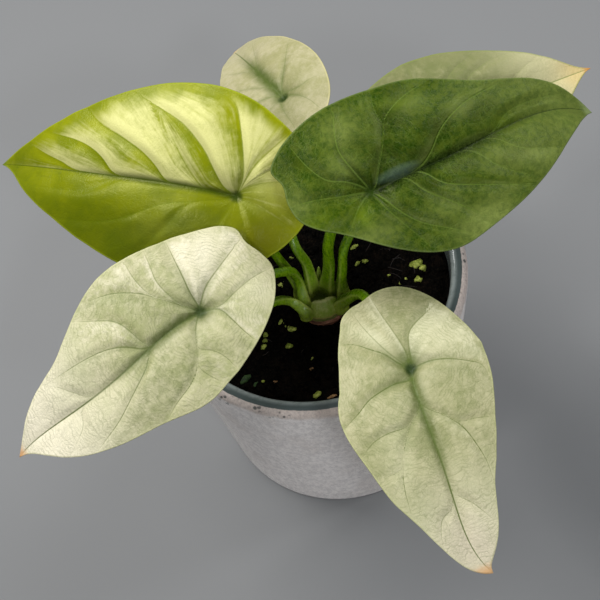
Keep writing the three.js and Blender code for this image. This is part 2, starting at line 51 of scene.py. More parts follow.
# Blades: where the stalk meets the blade, the direction of the tip, the way the face looks, how it bends,
# its outline and its main veins as (along, across) points from the attachment, each vein with its strength.
LEAVES = {
    "leaf_left": {
        "at": (-20.42, 2.45, 186),
        "along": (-0.83236, 0.5206, 0.19015),
        "up": (-0.12552, -0.51123, 0.85023),
        "tip_bend": 0.006,
        "base_bend": 0.006,
        "valley": 2.0,
        "arch": 0.004,
        "dimple": 2.5,
        "sway": (0.05872, 0.002676, -2.972e-05, 1.189e-07),
        "outline": [(113.1, 0.1), (109.3, 1), (105.6, 2.5), (102, 4.4), (98.5, 6.6), (95, 8.9), (91.3, 11.2), (87.4, 13.4), (83.2, 15.6), (78.8, 17.7), (74.2, 19.8), (69.5, 22), (64.4, 24.3), (59.2, 26.6), (53.6, 28.8), (47.8, 31), (41.7, 33), (35.2, 34.7), (28.5, 36), (21.4, 36.8), (14.1, 36.8), (6.7, 35.6), (-0.5, 32.9), (-7.2, 28.8), (-13.3, 23.8), (-19, 18), (-23.9, 11.6), (-27.4, 4.2), (-28.8, -3.9), (-28.1, -12.1), (-24.6, -19.4), (-19, -25.3), (-12.4, -29.9), (-5.2, -33.4), (2, -36.3), (9.4, -38.4), (16.8, -39.8), (24.1, -40.5), (31.2, -40.5), (38.1, -39.8), (44.6, -38.4), (50.8, -36.5), (56.6, -34.4), (62.1, -31.9), (67.2, -29.4), (72, -26.7), (76.6, -24.1), (80.8, -21.4), (84.9, -18.7), (88.8, -16.1), (92.5, -13.6), (96.1, -11.1), (99.6, -8.7), (103, -6.4), (106.4, -4.2), (109.7, -2.1)],
        "veins": [
            (0.55, [(0, 0), (47.2, 0), (56.6, 5.8), (70.2, 8.2), (85, 8)]),
            (0.9, [(0, 0), (1.4, 1.3), (7.4, 3.1), (16.1, 5.7), (25.5, 7.7), (34.3, 12.3), (43.8, 17.2), (54.6, 19.4), (67.2, 19.8)]),
            (0.5, [(0, 0), (1.4, 1.3), (7.4, 3.1), (16.1, 5.7), (21.3, 14.6), (27.5, 22.8), (31.1, 29.4)]),
            (0.35, [(0, 0), (0.3, 0.6), (2.2, 9), (6, 19), (11.5, 30)]),
            (0.5, [(0, 0), (-0.5, 1.2), (-4, 6.3), (-7.9, 12.1), (-10.8, 16.9)]),
            (0.45, [(0, 0), (-0.3, 0.4), (-8, 1.3), (-16.5, 3.2), (-23.9, 5.7)]),
            (0.6, [(0, 0), (-0, -1.9), (-4.7, -5.8), (-10.9, -8.9), (-16.2, -10.6), (-21.7, -11.6)]),
            (0.7, [(0, 0), (-0.8, -3.6), (-3.7, -13.4), (-7.3, -20.2), (-10.6, -25.9)]),
            (1, [(0, 0), (0.4, -0.6), (-0.8, -6.8), (1, -14.1), (4, -21.4), (7.2, -27.9), (10.7, -34.1), (15.2, -37), (21, -38.2)]),
            (0.95, [(0, 0), (2, -0.6), (5.9, -2.1), (9.5, -6.3), (13.6, -11.4), (17.3, -15.5), (21.2, -18.5), (25.6, -21.9), (31.4, -25.2), (40.1, -28.7), (49.8, -32.4)]),
            (0.3, [(0, 0), (11.8, 0), (16.6, -3), (21.8, -8), (26.6, -13.3)]),
            (0.95, [(0, 0), (27.3, 0), (31.4, -3.9), (36, -7.6), (41.2, -10.9), (46.9, -13.5), (53.9, -16.5), (61, -18.7), (67.4, -22), (70.6, -24.3)]),
            (0.9, [(0, 0), (49.3, 0), (54.1, -3.9), (60.3, -8.5), (68.7, -11.7), (77.6, -13.1), (85.7, -13.8)]),
            (0.6, [(0, 0), (67.6, 0), (74.6, -2.7), (82.6, -4.1), (90.1, -6.8)]),
        ],
    },
    "leaf_front_left": {
        "at": (-43.93, -37.43, 178),
        "along": (-0.95157, -0.30075, -0.0638),
        "up": (0.04591, -0.34419, 0.93778),
        "tip_bend": 0.005,
        "base_bend": 0.006,
        "valley": 2.0,
        "arch": 0.003,
        "dimple": 2.5,
        "sway": (-0.1444, 0.01428, -0.0002605, 1.432e-06),
        "outline": [(89.8, -0.2), (86.7, 1.3), (83.8, 3.1), (81.1, 5.2), (78.4, 7.5), (75.6, 9.8), (72.7, 12.1), (69.4, 14.1), (65.8, 15.9), (62, 17.4), (57.9, 18.6), (53.7, 19.8), (49.2, 20.9), (44.5, 21.9), (39.5, 23), (34.2, 24.3), (29, 26), (23.6, 27.9), (17.8, 29.6), (11.7, 29.9), (5.5, 28.4), (-0.6, 26.2), (-6.7, 23.5), (-12.9, 20.3), (-19.1, 16.4), (-25, 11.6), (-29.5, 5.7), (-32.2, -0.5), (-31.1, -7.1), (-28.6, -13.5), (-28.2, -19.9), (-23.5, -24.3), (-17.6, -26.6), (-11.7, -28.2), (-5.5, -29.7), (1, -30.6), (7.3, -31.4), (13.5, -32.5), (19.6, -33.6), (25.6, -33.8), (31.3, -32.9), (36.5, -31.3), (41.4, -29), (45.8, -26.3), (49.9, -23.6), (53.7, -21), (57.6, -18.8), (61.5, -17.1), (65.3, -15.5), (69, -13.9), (72.3, -12), (75.4, -10), (78.4, -7.9), (81.2, -5.7), (84, -3.7), (86.8, -1.8)],
        "veins": [
            (0.45, [(0, 0), (55.2, 0), (57.5, 5.3), (62.5, 9.1), (67, 11.5)]),
            (0.95, [(0, 0), (22.8, 0), (26.4, 4), (32.6, 6.8), (40.1, 10.2), (46.5, 13.2), (52, 14.9)]),
            (1, [(0, 0), (0.9, 0.1), (4.6, 4.7), (7.6, 11), (10.7, 15.9), (13.7, 19.1), (18.1, 21.1), (25.2, 22.3), (29.9, 23.9)]),
            (0.6, [(0, 0), (0.9, 0.1), (4.6, 4.7), (7.6, 11), (10.7, 15.9), (11.6, 17.1), (10.2, 21.7), (7.9, 25.6)]),
            (0.6, [(0, 0), (0.9, 0.1), (4.6, 4.7), (7.6, 11), (8.3, 12.1), (3.8, 15.4), (1.2, 19.6), (0.3, 23.1)]),
            (0.8, [(0, 0), (-1.2, 0.3), (-6.4, 2.7), (-8.2, 8.4), (-9.4, 13.7), (-10.5, 17.4)]),
            (0.55, [(0, 0), (-1.5, -0.3), (-7.5, 2.1), (-15.6, 0.6), (-23.4, -0.5), (-29.2, -0.3)]),
            (0.7, [(0, 0), (-1.1, -2), (-6.9, -6.8), (-14.6, -10.3), (-22.3, -13.4)]),
            (0.95, [(0, 0), (-0.5, -2.3), (-0.6, -8.3), (-1.5, -14.9), (-2.5, -24.4)]),
            (0.6, [(0, 0), (0.2, -1.1), (2.7, -3.1), (5.4, -6.9), (7.7, -17), (6.7, -23.8), (6, -28.4)]),
            (0.6, [(0, 0), (0.2, -1.1), (2.7, -3.1), (7, -8.2), (12.3, -14.8), (14.2, -23.7), (14.1, -29.4)]),
            (0.95, [(0, 0), (0.2, -1.1), (2.7, -3.1), (7, -8.2), (12.4, -14.8), (16.9, -19.6), (24.5, -25.6), (32.1, -29.2)]),
            (0.7, [(0, 0), (21.8, 0), (25.1, -7.5), (26.9, -13.8), (29.6, -17.8), (36.1, -23), (41, -26.7)]),
            (0.9, [(0, 0), (22.8, 0), (28.1, -4.9), (33.8, -9.1), (39.1, -11.5), (46.7, -13.3), (54.9, -14), (61.5, -14.3)]),
            (0.5, [(0, 0), (48.9, 0), (53.5, -2.5), (56.7, -6.5), (59.3, -10.1)]),
        ],
    },
    "leaf_front": {
        "at": (25.78, -73.56, 160),
        "along": (0.11334, -0.98254, -0.14754),
        "up": (0.08616, -0.13822, 0.98665),
        "tip_bend": 0.006,
        "base_bend": 0.005,
        "valley": 2.0,
        "arch": 0.004,
        "dimple": 2.5,
        "sway": (-0.3324, 0.01523, -0.0003117, 2.178e-06),
        "outline": [(80.3, 0.6), (77.6, 1.6), (75.3, 3.8), (73, 6.1), (70.5, 8.3), (67.7, 10.3), (64.6, 12), (61.4, 13.3), (57.6, 14.3), (53.8, 15.3), (49.9, 16.3), (46.1, 17.7), (42.2, 19.4), (37.8, 21), (33.1, 22.8), (28.1, 24.4), (23.3, 26.1), (18.2, 27.8), (12.9, 29.1), (7.1, 29.4), (1.3, 28.6), (-4.5, 27.1), (-10.7, 25.2), (-17.7, 22.3), (-24.6, 18.1), (-30.2, 12.6), (-33.2, 6.4), (-33.6, -0.5), (-31.7, -7.1), (-30.7, -12.3), (-28, -16.6), (-22.9, -19.3), (-18.3, -21.6), (-13.7, -23.5), (-8.8, -25.1), (-3.4, -27.1), (2.4, -29), (8.4, -29.8), (14.2, -29.5), (19.6, -28.6), (24.8, -27.3), (29.8, -25.9), (34.8, -24.5), (39.8, -22.9), (44.1, -21.2), (48, -19), (51.4, -17), (54.8, -15), (58.2, -13.3), (61.6, -11.7), (64.9, -10.2), (68.2, -8.9), (71.3, -7.6), (74.4, -6.3), (77.2, -4.6), (79.4, -2.3)],
        "veins": [
            (0.5, [(0, 0), (45.3, 0), (52.3, 5.2), (60, 10.1)]),
            (0.95, [(0, 0), (13.7, 0), (19.6, 5.4), (23.8, 9.1), (28.2, 12), (35, 14.1), (41.5, 15.7), (46.7, 15.9)]),
            (0.55, [(0, 0), (13.7, 0), (19.6, 5.4), (23.8, 9.1), (25.6, 10.6), (26.1, 16.8), (27.2, 22.1)]),
            (0.8, [(0, 0), (-0.2, 1.7), (0.1, 7.1), (2.3, 14.7), (5.4, 22.1), (8.4, 27), (13.4, 27.7)]),
            (0.55, [(0, 0), (-1.9, 1.1), (-7.8, 2.3), (-12.9, 4.3), (-16, 8.6), (-17.9, 12.5)]),
            (0.5, [(0, 0), (-1.6, -0.1), (-6.3, 0.6), (-14.6, -0.7), (-22.2, -2.1), (-27.3, -2.8)]),
            (0.5, [(0, 0), (-1.8, -0.9), (-8, -5.6), (-15.1, -8.7), (-22.3, -10.9), (-29.3, -12)]),
            (0.95, [(0, 0), (-1.4, -0.7), (-3.3, -3.6), (-8.1, -7.2), (-11.9, -11.7), (-15.8, -15.4), (-17.6, -19.2), (-18.7, -23.1)]),
            (1, [(0, 0), (3.8, 0.2), (3.9, -6.8), (5.1, -12.6), (6.5, -18), (9.4, -22.2), (11.5, -26.2)]),
            (0.7, [(0, 0), (14.2, 0), (18.8, -5.2), (21.1, -7.3), (20.4, -14.4), (21.3, -20.8), (22.7, -23.2)]),
            (0.5, [(0, 0), (14.2, 0), (18.8, -5.2), (24.8, -9.9), (29, -12.5), (34.8, -14.8), (34.8, -19)]),
            (1, [(0, 0), (14.2, 0), (18.8, -5.2), (24.8, -9.9), (29, -12.5), (34.8, -14.8), (40.9, -16.2), (47.4, -16.4)]),
            (0.6, [(0, 0), (50.9, 0), (53.6, -5.3), (57.1, -7.7), (60.5, -8.6)]),
        ],
    },
    "leaf_right": {
        "at": (28.3, -19.53, 198),
        "along": (0.97083, 0.2391, 0.01784),
        "up": (0.08536, -0.41422, 0.90616),
        "tip_bend": 0.005,
        "base_bend": 0.006,
        "valley": 2.4,
        "arch": 0.004,
        "dimple": 2.5,
        "sway": (-0.06019, -0.00101, 6.271e-05, -5.62e-07),
        "outline": [(100.4, 0.1), (98, 2.9), (95.3, 5.4), (92.3, 7.6), (89.1, 9.5), (85.6, 11.1), (81.8, 12.5), (77.9, 13.8), (73.8, 15), (69.5, 16.2), (65.1, 17.5), (60.5, 19), (55.8, 21), (51.2, 23.5), (46.5, 26.3), (41.6, 29.1), (36.3, 31.8), (30.5, 33.7), (24.2, 34.8), (17.7, 35.5), (11, 35.9), (4.1, 35.9), (-2.9, 35.5), (-10, 34.2), (-16.9, 32.1), (-23.6, 28.9), (-29, 23.9), (-27.6, 16.9), (-29.1, 9.6), (-28.1, 2.2), (-23.5, -3.7), (-17.7, -8.4), (-12.2, -13.4), (-7, -18.5), (-1.6, -23.2), (4.2, -27.1), (10.5, -30), (17, -31.7), (23.5, -31.9), (29.8, -31.1), (35.8, -30.1), (41.6, -29.1), (47.2, -28), (52.6, -26.8), (57.6, -25.4), (62.4, -23.8), (66.9, -21.9), (71, -19.8), (74.9, -17.6), (78.5, -15.3), (81.9, -13), (85.2, -10.7), (88.3, -8.5), (91.4, -6.2), (94.4, -4.1), (97.4, -1.9)],
        "veins": [
            (0.6, [(0, 0), (50.9, 0), (58.1, 3.5), (65.3, 5.1), (73.1, 5.3)]),
            (1, [(0, 0), (18.2, 0), (27, 3.9), (32.5, 9.3), (39.3, 12.6), (48, 15.1), (55.5, 15.5), (65.4, 15.7)]),
            (1, [(0, 0), (2.5, 0.7), (6.8, 7.5), (10.8, 12.8), (14.9, 19.4), (15.9, 21.8), (21.4, 25.1), (28.6, 27.7), (37, 28.6)]),
            (0.6, [(0, 0), (2.5, 0.7), (6.8, 7.5), (10.8, 12.8), (14.9, 19.4), (15.9, 21.8), (15.5, 25.9), (16.8, 30.4)]),
            (0.9, [(0, 0), (0.1, 1.5), (-2.4, 9.1), (-3.8, 18), (-1.6, 25.4), (1.5, 31.7)]),
            (0.8, [(0, 0), (-0.4, 1.4), (-6.1, 6.8), (-12.7, 10.9), (-16.4, 18.8), (-18.2, 27.3)]),
            (0.6, [(0, 0), (-0.8, 0.5), (-10.7, 3.2), (-19.4, 6.4), (-27.1, 8.4)]),
            (0.5, [(0, 0), (-0.9, -0.1), (-7.1, -3.4), (-11.8, -7.5), (-14.1, -9.7)]),
            (0.5, [(0, 0), (0.2, -1), (1.5, -8), (4, -15), (8, -24)]),
            (0.8, [(0, 0), (1, -0.5), (2.6, -3.6), (5.2, -11), (10.2, -18.1), (18.8, -24.1), (22.2, -26.5)]),
            (0.7, [(0, 0), (13.1, 0), (17.2, -8.3), (23.5, -14.9), (28.9, -20.8)]),
            (0.8, [(0, 0), (18.9, 0), (23.9, -7.7), (30.7, -11.9), (39.2, -15.9), (44.1, -18.1)]),
            (0.5, [(0, 0), (37.9, 0), (46.1, -11), (54.4, -18.4)]),
            (0.6, [(0, 0), (48.3, 0), (56, -7.2), (62.4, -12), (70.9, -14.2)]),
        ],
    },
    "leaf_back_right": {
        "at": (60.94, 16.55, 180),
        "along": (0.97835, 0.20683, -0.00642),
        "up": (0.07665, -0.33338, 0.93967),
        "tip_bend": 0.005,
        "base_bend": 0.006,
        "valley": 2.0,
        "arch": 0.004,
        "dimple": 2.5,
        "sway": (-0.09395, -0.003376, 0.0001015, -6.708e-07),
        "outline": [(74.7, 0.1), (72, 0.9), (69.4, 1.9), (66.8, 3.2), (64.3, 4.7), (61.8, 6.3), (59.2, 8.1), (56.6, 10), (53.8, 11.8), (50.9, 13.7), (47.8, 15.5), (44.5, 17.2), (40.9, 18.9), (37.1, 20.4), (33.1, 21.9), (28.9, 23.2), (24.4, 24.3), (19.8, 25.2), (14.9, 25.9), (9.8, 26.2), (4.6, 26.3), (-0.7, 26), (-6.2, 25.4), (-11.7, 24.4), (-17.1, 22.8), (-22.2, 20.2), (-26.2, 16), (-28.6, 10.7), (-29, 4.9), (-27.4, -0.7), (-24.5, -5.8), (-20.8, -10.2), (-16.5, -14), (-11.7, -17.1), (-6.7, -19.5), (-1.5, -21.2), (3.7, -22.4), (8.9, -23.1), (14, -23.3), (18.9, -23), (23.6, -22.4), (28.1, -21.5), (32.4, -20.4), (36.5, -19), (40.3, -17.6), (43.9, -16), (47.3, -14.4), (50.5, -12.7), (53.5, -11), (56.3, -9.4), (59.1, -7.7), (61.7, -6), (64.3, -4.4), (66.8, -3), (69.4, -1.7), (72, -0.6)],
        "veins": [
            (0.7, [(0, 0), (28.8, 0), (36.9, 5.5), (43.5, 9.5), (51.1, 11.5)]),
            (0.9, [(0, 0), (12.5, 0), (20, 11.5), (26.4, 14.7), (33.6, 17.2), (40.2, 17.4)]),
            (0.8, [(0, 0), (1.8, 1.2), (7.5, 8.8), (16.3, 16.5), (25.3, 20.5)]),
            (0.8, [(0, 0), (2.3, 0.5), (-0, 10.3), (1, 19.2), (1.7, 23.9)]),
            (0.7, [(0, 0), (-0, 1), (-7.1, 8.7), (-11.5, 16.7), (-13.2, 21.9)]),
            (0.6, [(0, 0), (-0.8, 0.3), (-9.6, -0.9), (-20.2, -1.2), (-26.8, -0.2)]),
            (0.5, [(0, 0), (-0.6, -0.8), (-4, -6), (-9, -12), (-13, -18)]),
            (0.7, [(0, 0), (0.8, -0.7), (0.5, -9.9), (1, -17.3)]),
            (0.7, [(0, 0), (13.8, 0), (17.1, -9.5), (18.5, -19.6)]),
            (0.7, [(0, 0), (31, 0), (35.7, -7.2), (37.4, -16.8)]),
        ],
    },
    "leaf_back": {
        "at": (7.56, 61.09, 166),
        "along": (-0.26703, 0.91361, -0.30662),
        "up": (-0.32957, 0.21241, 0.91993),
        "tip_bend": 0.00616,
        "base_bend": 0.006,
        "valley": 2.0,
        "arch": 0.005,
        "dimple": 2.5,
        "sway": (0, 0, 0, 0),
        "outline": [(76.5, -0.8), (74.2, 0.6), (71.7, 1.9), (69.2, 3.2), (66.7, 4.6), (64, 5.9), (61.3, 7.2), (58.5, 8.6), (55.5, 9.9), (52.4, 11.3), (49.2, 12.6), (45.7, 14), (42.1, 15.3), (38.3, 16.5), (34.4, 17.7), (30.2, 18.8), (25.8, 19.8), (21.2, 20.5), (16.4, 21.1), (11.5, 21.4), (6.4, 21.4), (1.1, 20.9), (-4.1, 19.8), (-9.3, 18.2), (-14.3, 15.9), (-19.1, 12.9), (-23.4, 9.3), (-26.8, 4.7), (-28.1, -0.8), (-26.8, -6.4), (-23.6, -11.1), (-19.3, -14.8), (-14.5, -17.6), (-9.3, -19.7), (-4.1, -21.2), (1.2, -22.2), (6.4, -22.8), (11.5, -22.9), (16.4, -22.7), (21.2, -22.2), (25.8, -21.4), (30.2, -20.5), (34.4, -19.4), (38.4, -18.2), (42.1, -16.9), (45.7, -15.6), (49.2, -14.2), (52.4, -12.9), (55.5, -11.5), (58.5, -10.1), (61.3, -8.8), (64, -7.5), (66.7, -6.1), (69.2, -4.8), (71.7, -3.5), (74.2, -2.2)],
        "veins": [
            (0.8, [(0, 0), (26.4, 0), (35.4, 5.2), (40, 9), (46.4, 11.2)]),
            (0.6, [(0, 0), (8, 0), (14, 5), (21, 11), (28, 16)]),
            (0.7, [(0, 0), (3.9, 1.5), (5.2, 6.7), (5.5, 10), (9.6, 15.7)]),
            (0.5, [(0, 0), (0.6, 1.4), (-2, 6), (-6, 11), (-10, 15)]),
            (0.7, [(0, 0), (2.2, 1.3), (-10.6, 3.8), (-19.5, 4.7)]),
            (0.8, [(0, 0), (1.8, -1.1), (-7.8, -5.1), (-15.2, -7.2), (-21, -7.7)]),
            (0.7, [(0, 0), (2.5, -1.6), (-3.9, -7.4), (-5.3, -12.4)]),
            (0.8, [(0, 0), (3.8, -1.3), (7.2, -4.6), (12.5, -9.8), (21.6, -15), (27.5, -18.3)]),
            (0.7, [(0, 0), (24.6, 0), (40.2, -4.2), (55.5, -7.8)]),
        ],
    },
}
PETIOLES = {
    "petiole_left": {"leaf": "leaf_left", "foot_radius": 2.1, "top_radius": 1.6, "path": [(-5.7, -3.9, 113.5), (-5.9, -3.4, 119), (-8.9, 1.9, 124.5), (-12.6, 3, 141), (-15.2, 4.3, 162), (-18.4, 5.9, 175), (-19.9, 4.4, 182.7)]},
    "petiole_front_left": {"leaf": "leaf_front_left", "foot_radius": 2.2, "top_radius": 1.6, "path": [(-5.2, -8.9, 113.5), (-5.1, -8.8, 118.5), (-5.8, -4.8, 128), (-10, -8.1, 141), (-25, -18.5, 157), (-40.1, -31.1, 167.8), (-44.1, -36, 174.1)]},
    "petiole_front": {"leaf": "leaf_front", "foot_radius": 2.2, "top_radius": 1.7, "path": [(8.4, -14.9, 113.5), (8.7, -14.8, 115.8), (11.8, -16.6, 120.5), (16, -20, 128), (19, -27.3, 135), (22, -48, 146), (24.2, -66, 150.2), (25.4, -72.9, 155.6)]},
    "petiole_right": {"leaf": "leaf_right", "foot_radius": 2.6, "top_radius": 2, "path": [(5.6, -6.2, 113.5), (5.8, -6.6, 120), (8, -8.1, 136), (9.6, -9.9, 156), (15.5, -11.5, 176), (24.3, -14.8, 186.8), (28, -17.9, 194.4)]},
    "petiole_back_right": {"leaf": "leaf_back_right", "foot_radius": 2.2, "top_radius": 1.7, "path": [(10.7, -9.6, 113.5), (10.9, -9.6, 119), (12.8, -9.8, 133), (16.6, -7.6, 149), (32, 2.5, 161.5), (53.4, 15.4, 168.1), (60.6, 18.1, 175.7)]},
    "petiole_back": {"leaf": "leaf_back", "foot_radius": 2.2, "top_radius": 1.7, "path": [(-0.5, -4, 113.5), (-0.6, -4.2, 119.5), (-0.7, 0.6, 129), (-3.4, 4.5, 140), (-2.5, 22, 147.5), (2.5, 42, 154), (8.5, 55.2, 156), (9, 60.2, 162.1)]},
    "petiole_spent": {"leaf": None, "foot_radius": 2.1, "top_radius": 1.8, "path": [(-5.9, -13.7, 113.5), (-6.4, -13.9, 116.5), (-11, -10, 120), (-17, -11.8, 126), (-23.3, -15.8, 130)]},
}

# ---------------------------------------------------------------- small tools


def unit(v):
    v = np.asarray(v, float)
    return v / np.linalg.norm(v, axis=-1, keepdims=True)


def srgb(r, g, b):
    """An 8-bit display colour as linear RGBA."""
    out = []
    for c in (r, g, b):
        c = c / 255.0
        out.append(c / 12.92 if c <= 0.04045 else ((c + 0.055) / 1.055) ** 2.4)
    return (*out, 1.0)


def smooth(x, low, high):
    t = np.clip((np.asarray(x, float) - low) / (high - low), 0, 1)
    return t * t * (3 - 2 * t)


def lattice(ix, iy, iz, seed):
    h = (ix * 73856093) ^ (iy * 19349663) ^ (iz * 83492791) ^ (seed * 15485863)
    h = h & 0xFFFFFFFF
    h = ((h ^ (h >> 16)) * 0x45D9F3B) & 0xFFFFFFFF
    h = ((h ^ (h >> 16)) * 0x45D9F3B) & 0xFFFFFFFF
    return ((h ^ (h >> 16)) & 0xFFFFFFFF) / 4294967295.0 * 2 - 1


def noise3(p, scale, seed=0):
    """Smooth value noise from -1 to 1 at points p, with features about scale across."""
    q = np.asarray(p, float) / scale
    i = np.floor(q).astype(np.int64)
    f = q - i
    u = f * f * (3 - 2 * f)
    out = np.zeros(len(q))
    for dx in (0, 1):
        for dy in (0, 1):
            for dz in (0, 1):
                w = (
                    (u[:, 0] if dx else 1 - u[:, 0])
                    * (u[:, 1] if dy else 1 - u[:, 1])
                    * (u[:, 2] if dz else 1 - u[:, 2])
                )
                out += w * lattice(i[:, 0] + dx, i[:, 1] + dy, i[:, 2] + dz, seed)
    return out


def fbm(p, scale, octaves=3, seed=0, gain=0.5):
    total, amp, norm = 0.0, 1.0, 0.0
    for o in range(octaves):
        total = total + amp * noise3(p, scale / 2**o, seed + 17 * o)
        norm += amp
        amp *= gain
    return total / norm


def catmull(points, count):
    """A smooth curve through the points, sampled evenly in its parameter."""
    p = [np.array(q, float) for q in points]
    p = [2 * p[0] - p[1]] + p + [2 * p[-1] - p[-2]]
    spans = len(points) - 1
    out = []
    for i in range(count + 1):
        u = i / count * spans
        k = min(int(u), spans - 1)
        w = u - k
        a, b, c, d = p[k : k + 4]
        v0, v1 = 0.5 * (c - a), 0.5 * (d - b)
        out.append((2 * b - 2 * c + v0 + v1) * w**3 + (3 * c - 3 * b - 2 * v0 - v1) * w * w + v0 * w + b)
    return np.array(out)


def even(line, count):
    """A polyline resampled to count + 1 points at even distances."""
    d = np.concatenate([[0], np.cumsum(np.linalg.norm(np.diff(line, axis=0), axis=1))])
    at = np.linspace(0, d[-1], count + 1)
    return np.stack([np.interp(at, d, line[:, k]) for k in range(line.shape[1])], 1)


def mesh_object(name, verts, quads, tris, material, points=None, corners=None):
    """A smooth-shaded mesh object from vertices in millimetres, with named point and face-corner values."""
    verts = np.asarray(verts, np.float32) * MM
    quads = np.asarray(quads, np.int32).reshape(-1, 4)
    tris = np.asarray(tris, np.int32).reshape(-1, 3)
    me = bpy.data.meshes.new(name)
    me.vertices.add(len(verts))
    me.vertices.foreach_set("co", verts.ravel())
    loops = np.concatenate([quads.ravel(), tris.ravel()])
    me.loops.add(len(loops))
    me.loops.foreach_set("vertex_index", loops)
    me.polygons.add(len(quads) + len(tris))
    starts = np.concatenate([np.arange(len(quads)) * 4, len(quads) * 4 + np.arange(len(tris)) * 3])
    me.polygons.foreach_set("loop_start", starts.astype(np.int32))
    me.polygons.foreach_set("use_smooth", np.ones(len(starts), bool))
    me.update(calc_edges=True)
    for domain, values in (("POINT", points or {}), ("CORNER", corners or {})):
        for key, value in values.items():
            value = np.asarray(value, np.float32)
            kind = "FLOAT_VECTOR" if value.ndim == 2 else "FLOAT"
            a = me.attributes.new(key, kind, domain)
            a.data.foreach_set("vector" if value.ndim == 2 else "value", value.ravel())
    if me.validate():
        raise RuntimeError(name + " has faces that aren't valid")
    me.materials.append(material)
    ob = bpy.data.objects.new(name, me)
    scene.collection.objects.link(ob)
    return ob


def place(ob, slot, *nodes):
    """The piece rides with the plant, and stands for these solids."""
    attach(ob, "root")
    if nodes:
        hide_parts(*nodes)
    return ob


def ring_quads(rings, sides, start=0):
    """Quads between rings of a closed tube, facing out where the rings run counter-clockwise about its direction."""
    j, i = np.meshgrid(np.arange(rings - 1), np.arange(sides), indexing="ij")
    k = (i + 1) % sides
    return np.stack([start + j * sides + i, start + j * sides + k, start + (j + 1) * sides + k, start + (j + 1) * sides + i], -1).reshape(-1, 4)


def transport(path, first):
    """Tangents and a twist-free pair of side directions along a path."""
    tangent = unit(np.gradient(path, axis=0))
    side = np.zeros_like(path)
    v = np.asarray(first, float)
    for i, t in enumerate(tangent):
        v = v - (v @ t) * t
        v = v / np.linalg.norm(v)
        side[i] = v
    return tangent, side, np.cross(tangent, side)


